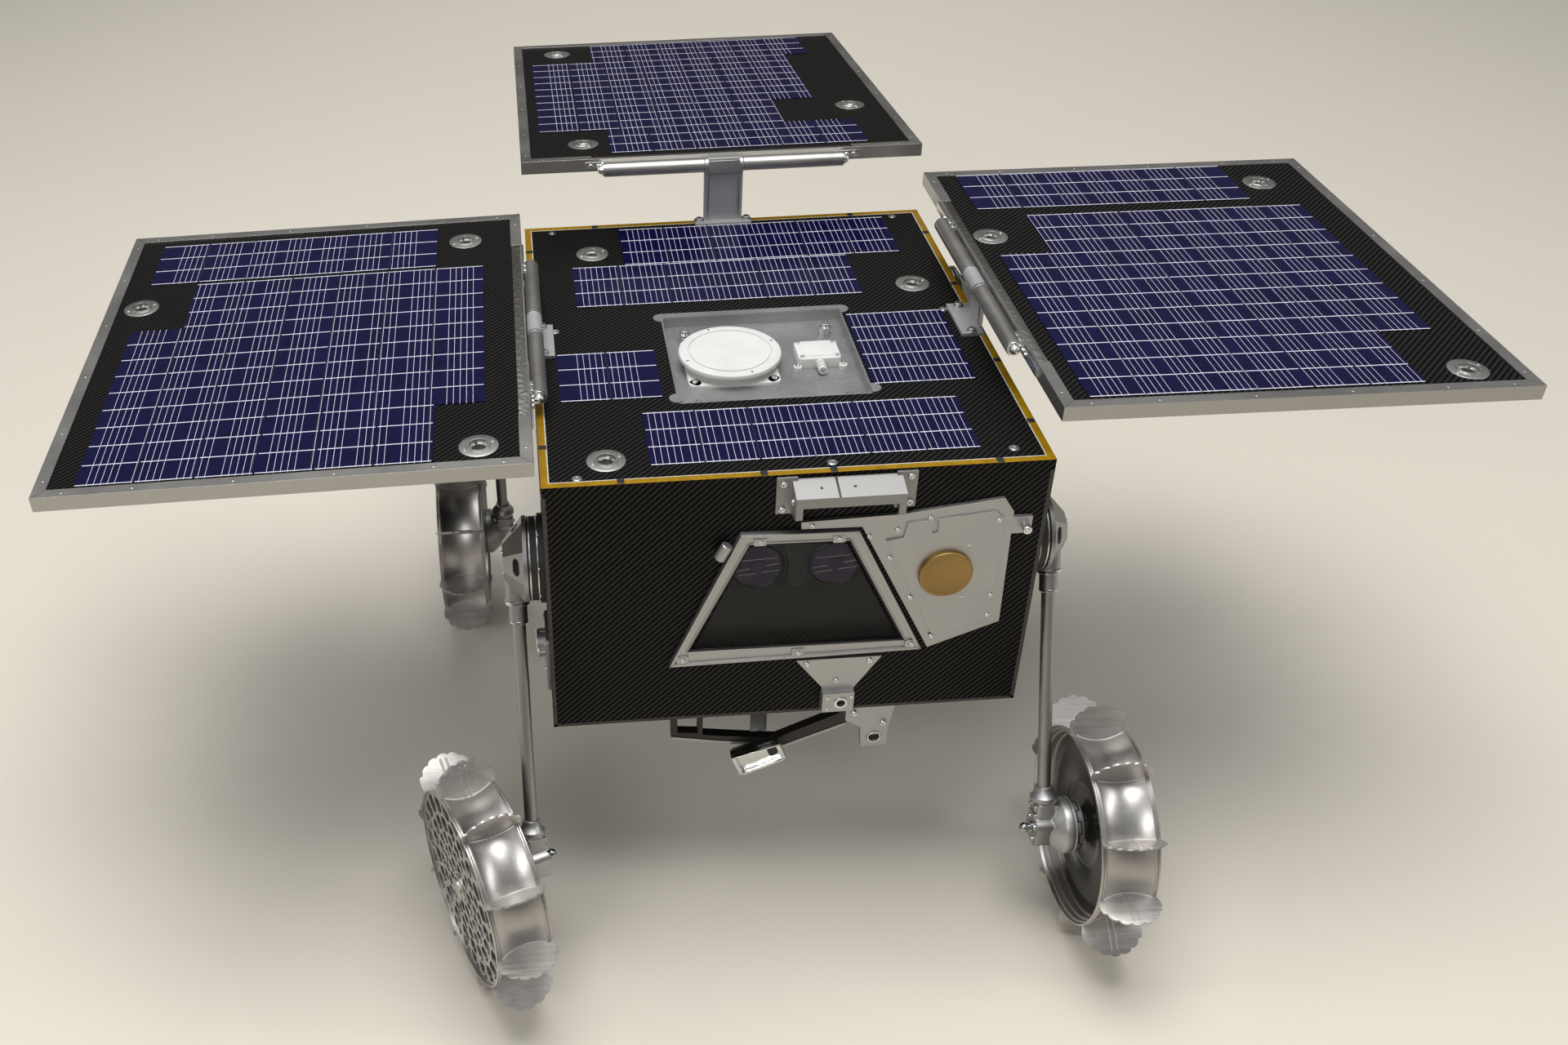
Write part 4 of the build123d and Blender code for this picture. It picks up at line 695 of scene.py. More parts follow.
# Front window: a satin frame screwed to the wall holds dark coated glass, and
# behind it two hooded cameras look out of a grey plate
glass, tree, shader, coords = new_material("dark_glass", (0.70, 0.71, 0.72), 0.0, 0.02)
shader.inputs["Transmission Weight"].default_value = 1.0
shader.inputs["IOR"].default_value = 1.16
smear = node(tree, "TexNoise", Vector=coords.outputs["Object"], Scale=35.0, Detail=5.0)
tree.links.new(node(tree, "MapRange", Value=smear.outputs[0], i3=0.0, i4=0.03).outputs[0],
               shader.inputs["Roughness"])
housing, tree, shader, coords = new_material("black_anodised", (0.012, 0.012, 0.012), 0.0, 0.38)
grit = node(tree, "TexNoise", Vector=coords.outputs["Object"], Scale=600.0, Detail=3.0)
tree.links.new(node(tree, "Bump", Strength=0.1, Distance=0.0002, Height=grit.outputs[0]).outputs[0],
               shader.inputs["Normal"])
tree.links.new(node(tree, "MapRange", Value=grit.outputs[0], i3=0.30, i4=0.46).outputs[0],
               shader.inputs["Roughness"])
tree.links.new(mix(tree, grit.outputs[0], (0.008, 0.008, 0.008, 1.0), (0.020, 0.020, 0.021, 1.0)),
               shader.inputs["Base Color"])
finish_nodes(glass, "window_glass")
finish_nodes(housing, "electronics_block")
# The belly bar is given the shoulders' dark grey: painted shade, as its face lies in the box's shadow
finish_nodes(dark_grey_and_painted_shade, "belly_bar")
hood_alloy = new_metal("hood_alloy", (0.34, 0.335, 0.325), 0.50, 700.0, (1.0, 1.0, 1.0), 0.08)
finish_nodes(hood_alloy, "hood_bracket")
finish_nodes(satin, "sensor_cover", "foot_bracket", "belly_eye_bracket", "side_connectors")

# The frame's four bars, their raised outer rim, its five screwed tabs and the
# knuckle of the pin at its upper corner
outer = [(137.0, -46.0), (220.4, -48.0), (275.0, -160.2), (87.2, -163.2)]
inner = [(143.3, -54.8), (214.8, -56.0), (262.0, -151.5), (100.4, -150.4)]
rim = bmesh.new()
for side in range(4):
    start, end = Vector(outer[side]), Vector(outer[(side + 1) % 4])
    join(rim, plate([start, end, inner[(side + 1) % 4], inner[side]], 0.0, 3.2))
    way = (end - start).normalized()
    off = Vector((way.y, -way.x)) * 2.4
    join(rim, plate([start, end, end - way * 1.6 + off, start + way * 1.6 + off], 3.1, 5.0, edge=0.5, segments=2))
    start, end = Vector(inner[side]), Vector(inner[(side + 1) % 4])
    join(rim, plate([start, end, end - off * 0.5, start - off * 0.5], 3.1, 4.0, edge=0.3, segments=2))
frame_tabs = [(150.8, -52.6), (206.6, -53.6), (182.5, -156.4), (97.2, -157.2), (266.8, -154.6)]
for x, z in frame_tabs:
    join(rim, slab(x - 4.6, x + 4.6, z - 3.4, z + 3.4, 3.1, 4.7, corner=1.4, edge=0.3))
knuckle = turned([(0.0, 7.0), (3.6, 7.0), (4.2, 6.4), (4.2, -5.4), (3.6, -6.0), (0.0, -6.0)], 28)
join(rim, knuckle, facing((124.8, -57.6, 6.2), (-0.45, -0.89, 0), (0, 0, 1)))
set_down(rim, "window_frame_bars", front_place, satin, "rover_body", "satin_aluminium", "window_frame")
heads = bmesh.new()
screws(heads, [(x, z, 4.6) for x, z in frame_tabs], 1.9, 1.5)
set_down(heads, "window_frame_screws", front_place, steel, "rover_body", "satin_aluminium")

# A thin black seal between the frame and the glass, along the frame's inner lip
seal = bmesh.new()
for start, end in zip(inner, inner[1:] + inner[:1]):
    way = (Vector(end) - Vector(start)).normalized()
    off = Vector((way.y, -way.x)) * 1.3
    start, end = Vector(start) - way * 0.2, Vector(end) + way * 0.2
    join(seal, plate([start, end, end + off, start + off], 2.4, 3.3, edge=0.2))
set_down(seal, "window_seal", front_place, black_and_painted_shade, "rover_body", "dark_housing")

# Close behind the glass stands a sheet of the same weave with two round ports
# for the cameras and a rounded post between them. In each port a coated lens
# can be made out, and satin slats across it stand in for glints on the lens:
# painted glints.
backing = bmesh.new()
join(backing, plate([(141.0, -50.0), (217.0, -51.0), (266.0, -155.0), (96.0, -154.0)], -9.2, -8.6))
set_down(backing, "camera_backing", front_place, black_and_painted_shade, "rover_body", "carbon_laminate")
lens_coat, tree, shader, coords = new_material("coated_lens", (0.02, 0.018, 0.045), 0.2, 0.03)
rings = node(tree, "TexNoise", Vector=coords.outputs["Object"], Scale=90.0, Detail=2.0)
tree.links.new(mix(tree, rings.outputs[0], (0.010, 0.014, 0.050, 1.0), (0.050, 0.018, 0.060, 1.0)),
               shader.inputs["Base Color"])
hoods, glint_slats, lenses = bmesh.new(), bmesh.new(), bmesh.new()
for x, z in ((151.8, -83.5), (207.6, -84.5)):
    where = Matrix.Translation((x, z, 0.0))
    join(hoods, turned([(17.4, -8.5), (19.6, -8.5), (19.6, -8.1), (18.7, -7.4), (17.8, -8.1)], 56, closed=True), where)
    join(lenses, turned([(0.0, -8.5), (17.5, -8.5), (17.5, -8.3), (0.0, -8.3)], 56), where)
    # Satin slats across each lens: painted glints
    for height, reach, turn_to in ((6.5, 14.6, 3.0), (-0.5, 16.0, 9.0), (-5.5, 15.0, 6.0)):
        glint_slat = slab(-reach, reach, height - 0.35, height + 0.35, -8.3, -7.9, edge=0.1)
        join(glint_slats, glint_slat, where @ Matrix.Rotation(math.radians(turn_to), 4, "Z"))
    join(lenses, turned([(6.6 * math.sin(math.radians(angle)), -8.6 + 1.6 * math.cos(math.radians(angle)))
                         for angle in range(0, 91, 9)] + [(6.6, -8.7), (0.0, -8.7)], 40), where)
post = plate([(171.0, -53.5), (189.5, -53.8), (190.5, -66.0), (187.0, -80.0), (187.5, -94.0), (184.5, -102.5),
              (176.0, -102.5), (173.0, -94.0), (173.5, -80.0), (169.8, -66.0)], -8.6, -6.4, corner=3.0, edge=1.2)
join(hoods, post)
for x, z in ((151.8, -83.5), (207.6, -84.5)):
    join(hoods, turned([(19.0, -8.5), (19.0, -23.0), (9.0, -24.0), (9.0, -12.0), (7.0, -12.0), (7.0, -9.0)], 40),
         Matrix.Translation((x, z, 0.0)))
join(hoods, slab(85.0, 281.0, -160.0, -50.0, -27.0, -24.0, corner=6.0, edge=0.4))
set_down(hoods, "camera_ports", front_place, housing, "rover_body", "dark_housing", "camera_pair")
set_down(glint_slats, "camera_lens_glints", front_place, satin, "rover_body", "dark_housing")
set_down(lenses, "camera_lenses", front_place, lens_coat, "rover_body", "dark_glass")

# Sensor cover: a satin plate beside the window with a raised, screwed panel, a
# pin on its ear and a thick coin of gold
gold = new_metal("gold_plate", (0.36, 0.235, 0.085), 0.44, 800.0, (1.0, 1.0, 1.0), 0.05)
coin = turned([
    (0.0, 8.0), (16.2, 8.0), (16.8, 8.25), (18.0, 8.4), (19.0, 8.1), (19.5, 7.4), (19.5, 4.5), (0.0, 4.5),
], 72)
set_down(coin, "sensor_coin", front_place @ Matrix.Translation((0.805 * box_width, -0.405 * box_height, 0.0)),
         gold, "rover_body", "gold_plate", "sensor_disc")
heads = bmesh.new()
screws(heads, [
    (228.0, -54.0, 3.0), (247.6, -49.5, 3.0), (318.5, -45.0, 4.5), (320.5, -112.0, 4.5), (320.4, -130.6, 4.5),
    (281.0, -148.0, 4.5), (262.0, -111.0, 3.0), (244.0, -74.0, 3.0), (187.0, -42.2, 3.0), (270.0, -41.0, 3.0),
], 1.8, 1.3)
for x, z in ((300.0, -66.0), (300.0, -112.0)):
    join(heads, turned([(0.0, 0.0), (0.9, 0.0), (0.9, 0.5), (0.0, 0.5)], 12), Matrix.Translation((x, z, 4.5)))
join(heads, turned([(0.0, 1.2), (1.6, 1.2), (1.6, 0.2), (3.0, 0.2), (3.4, -0.4), (3.4, -2.0), (0.0, -2.0)], 24),
     Matrix.Translation((0.955 * box_width, -0.236 * box_height, 10.2)))
set_down(heads, "sensor_cover_screws", front_place, steel, "rover_body", "satin_aluminium")

# Hood over the window: a folded bracket with screwed flanges, a groove across
# its roof painted dark grey as painted shade, and a bolt in each cheek
heads = bmesh.new()
screws(heads, [(165.5, -6.0, 2.0), (165.0, -27.0, 2.0), (253.3, -5.0, 2.0), (253.8, -26.4, 2.0)], 2.4, 1.8)
for x, out in ((171.4, -1), (247.5, 1)):
    bolt = turned([(0.0, 0.5), (1.0, 0.5), (1.0, 1.4), (2.2, 1.4), (2.6, 1.0), (2.6, 0.0), (0.0, 0.0)], 18)
    join(heads, bolt, facing((x, -17.0, 9.0), (out, 0, 0), (0, 1, 0)))
set_down(heads, "hood_screws", front_place, steel, "rover_body", "satin_aluminium")
# A dark grey strip in the roof's groove: painted shade; two small dark grey discs sit beside it
groove = bmesh.new()
slope = math.atan2(4.5, 19.0)
roof = facing((0.0, -3.5, 0.0), (0, math.cos(slope), math.sin(slope)), (1, 0, 0))
join(groove, slab(200.6, 202.2, -19.4, -0.4, -0.3, 0.06, edge=0.02), roof)
for x in (190.0, 213.0):
    join(groove, turned([(0.0, 0.08), (1.1, 0.08), (1.1, -0.3), (0.0, -0.3)], 14),
         roof @ Matrix.Translation((x, -10.0, 0.0)))
set_down(groove, "hood_roof_groove_shade", front_place, dark_grey_and_painted_shade, "rover_body", "satin_aluminium")

# Foot bracket under the window: screws in its plate and a washer and bush in
# its eye
heads = bmesh.new()
screws(heads, [(190.0, -168.5, 4.0), (237.0, -168.5, 4.0), (213.0, -186.0, 4.0)], 2.1, 1.6)
screws(heads, [(206.5, -199.5, 9.0), (224.5, -199.5, 9.0), (206.5, -210.5, 9.0)], 1.3, 1.0)
bush = turned([(3.3, 9.0), (5.4, 9.0), (5.4, 9.7), (5.0, 10.0), (3.3, 10.0)], 28, closed=True)
join(heads, bush, Matrix.Translation((0.613 * box_width, -0.932 * box_height, 0.0)))
set_down(heads, "foot_bracket_screws", front_place, steel, "rover_body", "satin_aluminium")

# Under the box: pale lower edges on the strap, whose face is painted dark grey
# as painted shade, a silver channel with a hammered floor and a bushed slot
# painted black as painted shade, and the eyed block's bolt and bush
edges = bmesh.new()
strap = [(92.8, -269.3), (132.0, -276.9), (184.1, -285.6), (233.0, -265.3), (237.6, -221.0)]
for (x0, z0), (x1, z1) in zip(strap, strap[1:]):
    join(edges, plate([(x0, z0), (x1, z1), (x1, z1 + 2.6), (x0, z0 + 2.6)], -30.2, -29.2, edge=0.2))
set_down(edges, "belly_strap_edge", front_place, satin, "rover_body", "satin_aluminium")
hammered = new_metal("hammered_alloy", (0.70, 0.70, 0.69), 0.20, 170.0, (1.0, 1.0, 1.0), 1.0)
pad = bmesh.new()
corners = [(139.0, -280.0), (147.0, -300.8), (183.8, -284.6), (177.0, -267.6)]
join(pad, plate(corners, -25.8, -18.0, edge=0.4))
for side, reach in ((0, 3.0), (1, 1.8), (2, 3.0), (3, 1.4)):
    start, end = Vector(corners[side]), Vector(corners[(side + 1) % 4])
    way = (end - start).normalized()
    off = Vector((-way.y, way.x)) * reach
    join(pad, plate([start, end, end + off, start + off], -18.2, -14.1, edge=0.5, segments=2))
set_down(pad, "belly_channel", front_place, hammered, "rover_body", "satin_aluminium", "belly_pad")
# The slot's opening, painted black: painted shade
bush = bmesh.new()
join(bush, plate([(170.6, -283.6), (177.8, -280.6), (174.4, -271.8), (167.2, -274.8)], -18.1, -17.4, corner=3.0))
set_down(bush, "belly_channel_slot_shade", front_place, black_and_painted_shade, "rover_body", "satin_aluminium")
stem = slab(155.0, 168.0, -262.0, -220.1, -25.9, -25.0, corner=1.0, edge=0.2)
set_down(stem, "belly_channel_stem", front_place, housing, "rover_body", "dark_housing", "belly_pad")
heads = bmesh.new()
screws(heads, [(234.0, -238.0, -14.0), (258.0, -250.0, -14.0)],
       2.6, 2.0)
join(heads, turned([(4.2, 0.0), (5.6, 0.0), (5.4, 0.8), (4.4, 0.8)], 28, closed=True),
     Matrix.Translation((252.05, -265.1, -14.0)))
set_down(heads, "belly_screws", front_place, steel, "rover_body", "satin_aluminium")

# Connectors low on both sides: a turned shell with a dark insert and pins, a
# plate with corner screws and a hanging white tag
tag_white, tree, shader, coords = new_material("tag_white", (0.74, 0.74, 0.72), 0.0, 0.5)
cloud = node(tree, "TexNoise", Vector=coords.outputs["Object"], Scale=150.0, Detail=4.0)
tree.links.new(mix(tree, cloud.outputs[0], (0.66, 0.66, 0.64, 1.0), (0.80, 0.80, 0.78, 1.0)),
               shader.inputs["Base Color"])
for side, name in ((-1, "right"), (1, "left")):
    side_place = facing((side * abs(right_x), front_y + 0.040, lid_top), (side, 0, 0), (0, side, 0), 0.001)
    shell = turned([(9.4, 7.4), (9.4, 9.1), (10.4, 9.6), (11.3, 9.0), (11.3, 7.6), (11.0, 7.4)], 40, closed=True)
    for start in range(12):
        angle = math.tau * start / 12
        join(shell, slab(-0.6, 0.6, 11.0, 11.5, 3.0, 7.0), Matrix.Rotation(angle, 4, "Z"))
    join(shell, turned([(2.6, 9.0), (3.2, 9.4), (3.2, 9.0)], 20, closed=True))
    set_down(shell, name + "_connector_shell", side_place @ Matrix.Translation((0, -169.0, 0)), steel,
             "rover_body", "satin_aluminium")
    insert = turned([(0.0, 9.15), (9.3, 9.15), (9.3, 8.9), (0.0, 8.9)], 32)
    set_down(insert, name + "_connector_insert", side_place @ Matrix.Translation((0, -169.0, 0)),
             black_and_painted_shade, "rover_body", "dark_housing")
    heads = bmesh.new()
    screws(heads, [(x, y - 169.0, 2.5) for x in (-16.0, 16.0) for y in (-12.5, 12.5)], 1.8, 1.4)
    set_down(heads, name + "_connector_screws", side_place, steel, "rover_body", "satin_aluminium")
    tag = slab(-4.3, 4.3, -213.6, -187.0, 2.5, 3.3, corner=1.5, edge=0.2)
    set_down(tag, name + "_connector_tag", side_place, tag_white, "rover_body", "satin_aluminium")

# Solar cells: dark blue crystal under matte cover film, crossed by printed
# silver lines. Thin fingers run along the rover in groups of five, and wider
# bus lines join them, broken where one cell ends.
cells, tree, shader, coords = new_material("cell_blue", (0.012, 0.011, 0.075), 0.0, 0.25)
flakes = node(tree, "TexVoronoi", Vector=coords.outputs["Object"], Scale=210.0)
large = node(tree, "TexNoise", Vector=coords.outputs["Object"], Scale=22.0, Detail=2.0)
shade = maths(tree, "ADD", maths(tree, "MULTIPLY", flakes.outputs["Color"], 0.6),
              maths(tree, "MULTIPLY", large.outputs[0], 0.4))
tree.links.new(
    mix(tree, shade, (0.0014, 0.0014, 0.014, 1.0), (0.0040, 0.0040, 0.040, 1.0)), shader.inputs["Base Color"]
)
ripple = node(tree, "TexNoise", Vector=coords.outputs["Object"], Scale=420.0, Detail=1.0)
tree.links.new(
    node(tree, "Bump", Strength=0.12, Distance=0.0004, Height=ripple.outputs[0]).outputs[0],
    shader.inputs["Normal"],
)
shader.inputs["Coat Weight"].default_value = 0.04
shader.inputs["Coat Roughness"].default_value = 0.20
shader.inputs["Specular IOR Level"].default_value = 0.14
finish_nodes(cells, "lid_solar_cells", "right_panel_cells", "left_panel_cells", "back_panel_cells")
silver_ink, tree, shader, coords = new_material("silver_ink", (0.62, 0.61, 0.68), 0.1, 0.4)
wear = node(tree, "TexNoise", Vector=coords.outputs["Object"], Scale=500.0, Detail=3.0)
tree.links.new(mix(tree, wear.outputs[0], (0.42, 0.41, 0.50, 1.0), (0.70, 0.69, 0.77, 1.0)),
               shader.inputs["Base Color"])
finger_pitch, finger_width, bus_width, cell_edge = 4.7, 0.32, 0.95, 38.9


# Where a straight line at one place along the first axis runs inside an outline
def runs_inside(outline, place_on, axis):
    crossings = []
    for start, end in zip(outline, outline[1:] + outline[:1]):
        low, high = sorted((start[axis], end[axis]))
        if low <= place_on < high:
            share = (place_on - start[axis]) / (end[axis] - start[axis])
            crossings.append(start[1 - axis] + share * (end[1 - axis] - start[1 - axis]))
    crossings.sort()
    return list(zip(crossings[::2], crossings[1::2]))


# Fingers run along y and bus lines along x, over the cells' top at height 0
def cell_lines(shape, outline, group_step, bus_step):
    x_low, x_high = min(x for x, y in outline), max(x for x, y in outline)
    y_low, y_high = min(y for x, y in outline), max(y for x, y in outline)
    groups = max(1, int((x_high - x_low) / group_step))
    margin = (x_high - x_low - groups * group_step + group_step - 4 * finger_pitch) / 2
    for group in range(groups):
        for finger in range(5):
            x = x_low + margin + group * group_step + finger * finger_pitch
            for low, high in runs_inside(outline, x, 0):
                join(shape, slab(x - finger_width / 2, x + finger_width / 2, low - 0.8, high + 0.8, -0.02, 0.06))
    steps = max(2, round((y_high - y_low) / bus_step))
    for line in range(steps + 1):
        y = y_low + bus_width / 2 + (y_high - y_low - bus_width) * line / steps
        for low, high in runs_inside(outline, y, 1):
            count = max(1, round((high - low) / cell_edge))
            length = (high - low) / count
            for part in range(count):
                join(shape, slab(low + part * length + 0.8, low + (part + 1) * length - 0.8,
                                 y - bus_width / 2, y + bus_width / 2, -0.02, 0.09))


# The seams between cells, seen as fine black lines across and along
def cell_seams(shape, outline):
    x_low, x_high = min(x for x, y in outline), max(x for x, y in outline)
    y_low, y_high = min(y for x, y in outline), max(y for x, y in outline)
    count = max(1, round((x_high - x_low) / cell_edge))
    for seam in range(1, count):
        x = x_low + (x_high - x_low) * seam / count
        for low, high in runs_inside(outline, x, 0):
            join(shape, slab(x - 0.25, x + 0.25, low, high, -0.02, 0.04))
    count = max(1, round((y_high - y_low) / (2 * cell_edge)))
    for seam in range(1, count):
        y = y_low + (y_high - y_low) * seam / count
        for low, high in runs_inside(outline, y, 1):
            join(shape, slab(low, high, y - 0.25, y + 0.25, -0.02, 0.04))


# Columns: across low, across high, back low, back high, as shares of the lid
lid_blocks = [
    (0.234, 0.904, 0.800, 0.969), (0.107, 0.771, 0.624, 0.796), (0.051, 0.266, 0.268, 0.437),
    (0.709, 0.927, 0.273, 0.537), (0.215, 0.867, 0.049, 0.215),
]
lines, seams = bmesh.new(), bmesh.new()
for across_low, across_high, back_low, back_high in lid_blocks:
    outline = [
        (across_low * box_width, back_low * box_depth), (across_high * box_width, back_low * box_depth),
        (across_high * box_width, back_high * box_depth), (across_low * box_width, back_high * box_depth),
    ]
    cell_lines(lines, outline, 25.4, 23.6)
    cell_seams(seams, outline)
cell_top = Matrix.Translation((0, 0, 0.6))
set_down(lines, "lid_cell_lines", lid_place @ cell_top, silver_ink, "rover_body", "solar_cells")
set_down(seams, "lid_cell_seams", lid_place @ cell_top, black_and_painted_shade, "rover_body", "solar_cells")


# Hold-down cups: turned flanges let into the lid and the panels, with a
# stepped recess, a bore and a small sprung catch across it
cup_alloy = new_metal("cup_alloy", (0.47, 0.46, 0.44), 0.37, 700.0, (1.0, 1.0, 1.0), 0.04)


def make_cup(depth):
    cup = turned([
        (4.7, -depth + 0.02), (4.7, -1.6), (5.2, -1.0), (6.6, -1.0), (6.9, 1.5), (8.2, 1.5), (8.5, 0.7), (12.9, 0.6),
        (13.8, 0.3), (13.9, -0.02), (10.5, -0.02), (10.5, -depth + 0.02),
    ], 56, closed=True)
    for arm in range(2):
        angle = math.radians(25 + 180 * arm)
        join(cup, turned([(0.0, 0.6), (0.7, 0.6), (0.7, 1.0), (1.2, 1.0), (1.4, 0.8), (1.4, 0.4), (0.0, 0.4)], 14),
             Matrix.Rotation(angle, 4, "Z") @ Matrix.Translation((10.6, 0, 0)))
    return cup


# The bore's floor and the three notches in its rim, painted black as painted shade
def cup_bore_shade():
    bore = turned([(0.0, -3.0), (4.68, -3.0), (4.68, -3.2), (0.0, -3.2)], 24)
    for notch in range(3):
        join(bore, slab(4.6, 6.7, -0.9, 0.9, -1.2, -0.9, corner=0.5), Matrix.Rotation(math.radians(50 + 120 * notch), 4, "Z"))
    return bore


cup_shares = [(0.131, 0.072), (0.161, 0.861), (0.895, 0.654)]
cups, bore_shades = bmesh.new(), bmesh.new()
for across_of, back_of in cup_shares:
    spot = Matrix.Translation((across_of * box_width, back_of * box_depth, 0.0))
    join(cups, make_cup(8.0), spot)
    join(bore_shades, cup_bore_shade(), spot)
set_down(bore_shades, "lid_cup_bore_shade", lid_place, black_and_painted_shade, "rover_body", "polished_aluminium")
set_down(cups, "lid_cup_rings", lid_place, cup_alloy, "rover_body", "polished_aluminium", "lid_cups")

# Antenna tray: a shallow folded tray of light grey sheet, let into the lid,
# its rear lip bent over the lid. Socket screws with washers hold its floor.
tray_paint = new_metal("tray_grey", (0.42, 0.42, 0.42), 0.44, 700.0, (1.0, 1.0, 1.0), 0.05)
finish_nodes(tray_paint, "antenna_tray")
tray_floor = -8.0
tray_x, tray_y = 0.499 * box_width, 0.401 * box_depth
tray_width, tray_length = 0.41 * box_width, 0.317 * box_depth
heads = bmesh.new()
for x, y, stud in ((tray_x - 56.0, tray_y + 42.0, 6.0), (tray_x + 56.0, tray_y + 42.0, 6.0),
                   (tray_x - 56.0, tray_y - 56.0, 0.0), (tray_x + 56.0, tray_y - 56.0, 0.0)):
    where = Matrix.Translation((x, y, tray_floor))
    if stud:
        join(heads, turned([(0.0, 0.0), (4.2, 0.0), (4.2, stud), (0.0, stud)], 6), where)
    join(heads, turned([(0.0, stud), (4.6, stud), (4.6, stud + 0.6), (0.0, stud + 0.6)], 28), where)
    join(heads, turned([
        (0.0, stud + 1.8), (1.5, stud + 1.8), (1.5, stud + 3.6), (2.8, stud + 3.6), (3.1, stud + 3.2),
        (3.1, stud + 0.6), (0.0, stud + 0.6),
    ], 20), where)
set_down(heads, "tray_screws", lid_place, steel, "rover_body", "satin_aluminium")
# A dark line along the lip's bend: painted shade in the fold
bend_shade = bmesh.new()
join(bend_shade, slab(tray_x - tray_width / 2 + 2, tray_x + tray_width / 2 - 2, tray_y + tray_length / 2 - 1.4,
                tray_y + tray_length / 2 - 0.9, 1.45, 1.56))
set_down(bend_shade, "tray_bend_shade", lid_place, black_and_painted_shade, "rover_body", "grey_tray")

# Round antenna: a white moulded disc with a stepped crown on a drum, bolted
# to the tray by the four ears of its base
radome, tree, shader, coords = new_material("white_radome", (0.58, 0.575, 0.555), 0.0, 0.6)
grain = node(tree, "TexNoise", Vector=coords.outputs["Object"], Scale=900.0, Detail=4.0)
smudge = node(tree, "TexNoise", Vector=coords.outputs["Object"], Scale=60.0, Detail=4.0)
tree.links.new(mix(tree, smudge.outputs[0], (0.47, 0.465, 0.445, 1.0), (0.58, 0.575, 0.555, 1.0)),
               shader.inputs["Base Color"])
tree.links.new(node(tree, "Bump", Strength=0.25, Distance=0.0002, Height=grain.outputs[0]).outputs[0],
               shader.inputs["Normal"])
patch_x, patch_y = tray_x - 0.176 * tray_width, tray_y + 0.018 * tray_length
disc_radius, drum_radius, base_size = 0.272 * tray_width, 0.241 * tray_width, 0.482 * tray_width
antenna = slab(-base_size / 2, base_size / 2, -base_size / 2, base_size / 2, 0.0, 2.6, corner=8.0, edge=0.5)
join(antenna, turned([
    (0.0, 12.0), (0.78 * disc_radius, 12.0), (0.785 * disc_radius, 11.2), (0.815 * disc_radius, 11.2),
    (0.82 * disc_radius, 11.9), (disc_radius - 1.4, 11.9), (disc_radius - 0.4, 11.4), (disc_radius, 10.4),
    (disc_radius, 8.6), (disc_radius - 0.5, 8.0), (drum_radius + 1.2, 7.2), (drum_radius, 6.4), (drum_radius, 2.2),
    (0.0, 2.2),
], 96))
for x in (-1, 1):
    for y in (-1, 1):
        ear = Matrix.Translation((x * (base_size / 2 - 5.0), y * (base_size / 2 - 5.0), 0.0))
        join(antenna, turned([(0.0, 2.6), (4.6, 2.6), (4.9, 2.3), (4.9, 0.0), (0.0, 0.0)], 28), ear)
antenna_place = lid_place @ Matrix.Translation((patch_x, patch_y, tray_floor))
set_down(antenna, "round_antenna_disc", antenna_place, radome, "rover_body", "white_radome", "round_antenna")
heads = bmesh.new()
screws(heads, [(x * (base_size / 2 - 5.0), y * (base_size / 2 - 5.0), 2.6) for x in (-1, 1) for y in (-1, 1)],
       2.4, 2.2)
set_down(heads, "round_antenna_screws", antenna_place, steel, "rover_body", "satin_aluminium")
marks = bmesh.new()
for quarter in range(4):
    join(marks, slab(disc_radius - 4.6, disc_radius - 2.2, -0.5, 0.5, 11.7, 11.98),
         Matrix.Rotation(math.radians(20 + 90 * quarter), 4, "Z"))
set_down(marks, "round_antenna_marks", antenna_place, black_and_painted_shade, "rover_body", "white_radome")

# Small antenna: a white box with two screwed ears, a nozzle of stacked rings
# to the front and two ports on its side
radio_x, radio_y = tray_x + 0.293 * tray_width, tray_y + 0.027 * tray_length
radio_width, radio_length = 0.227 * tray_width, 0.215 * tray_length
radio_place = lid_place @ Matrix.Translation((radio_x, radio_y, tray_floor))
radio = slab(-radio_width / 2, radio_width / 2, -radio_length / 2, radio_length / 2, 0.0, 8.0, corner=3.0, edge=0.8)
join(radio, slab(-radio_width / 2 + 5, radio_width / 2 - 5, -radio_length / 2 + 4, radio_length / 2 - 4, 7.9, 8.4,
                 corner=2.0, edge=0.3))
nozzle = turned([
    (0.0, 0.0), (3.5, 0.0), (3.5, 2.0), (2.6, 2.3), (2.6, 3.2), (3.5, 3.5), (3.5, 5.0), (2.6, 5.3), (2.6, 6.2),
    (3.5, 6.5), (3.5, 8.0), (2.6, 8.3), (2.6, 9.2), (3.4, 9.5), (3.2, 11.9), (1.6, 12.0), (1.6, 10.5), (0.0, 10.5),
], 28)
join(radio, nozzle, facing((0, -radio_length / 2, 4.0), (0, -1, 0), (1, 0, 0)))
for x in (-1, 1):
    join(radio, turned([(0.0, 3.2), (2.9, 3.2), (3.3, 2.8), (3.3, 0.0), (0.0, 0.0)], 24),
         Matrix.Translation((x * (radio_width / 2 + 1.0), -radio_length / 2 - 1.6, 0.0)))
for y in (-5.0, 5.0):
    join(radio, turned([(0.0, 0.0), (2.6, 0.0), (2.6, 1.2), (1.8, 1.4), (1.8, 0.6), (0.0, 0.6)], 20),
         facing((radio_width / 2 - 1.4, y, 4.0), (1, 0, 0), (0, 1, 0)))
set_down(radio, "small_antenna_box", radio_place, radome, "rover_body", "white_radome", "small_antenna")
heads = bmesh.new()
screws(heads, [(x * (radio_width / 2 - 3.0), y * (radio_length / 2 - 3.4), 8.0) for x in (-1, 1) for y in (-1, 1)],
       1.6, 1.2)
screws(heads, [(x * (radio_width / 2 + 1.0), -radio_length / 2 - 1.6, 3.2) for x in (-1, 1)], 1.9, 1.4)
set_down(heads, "small_antenna_screws", radio_place, steel, "rover_body", "satin_aluminium")

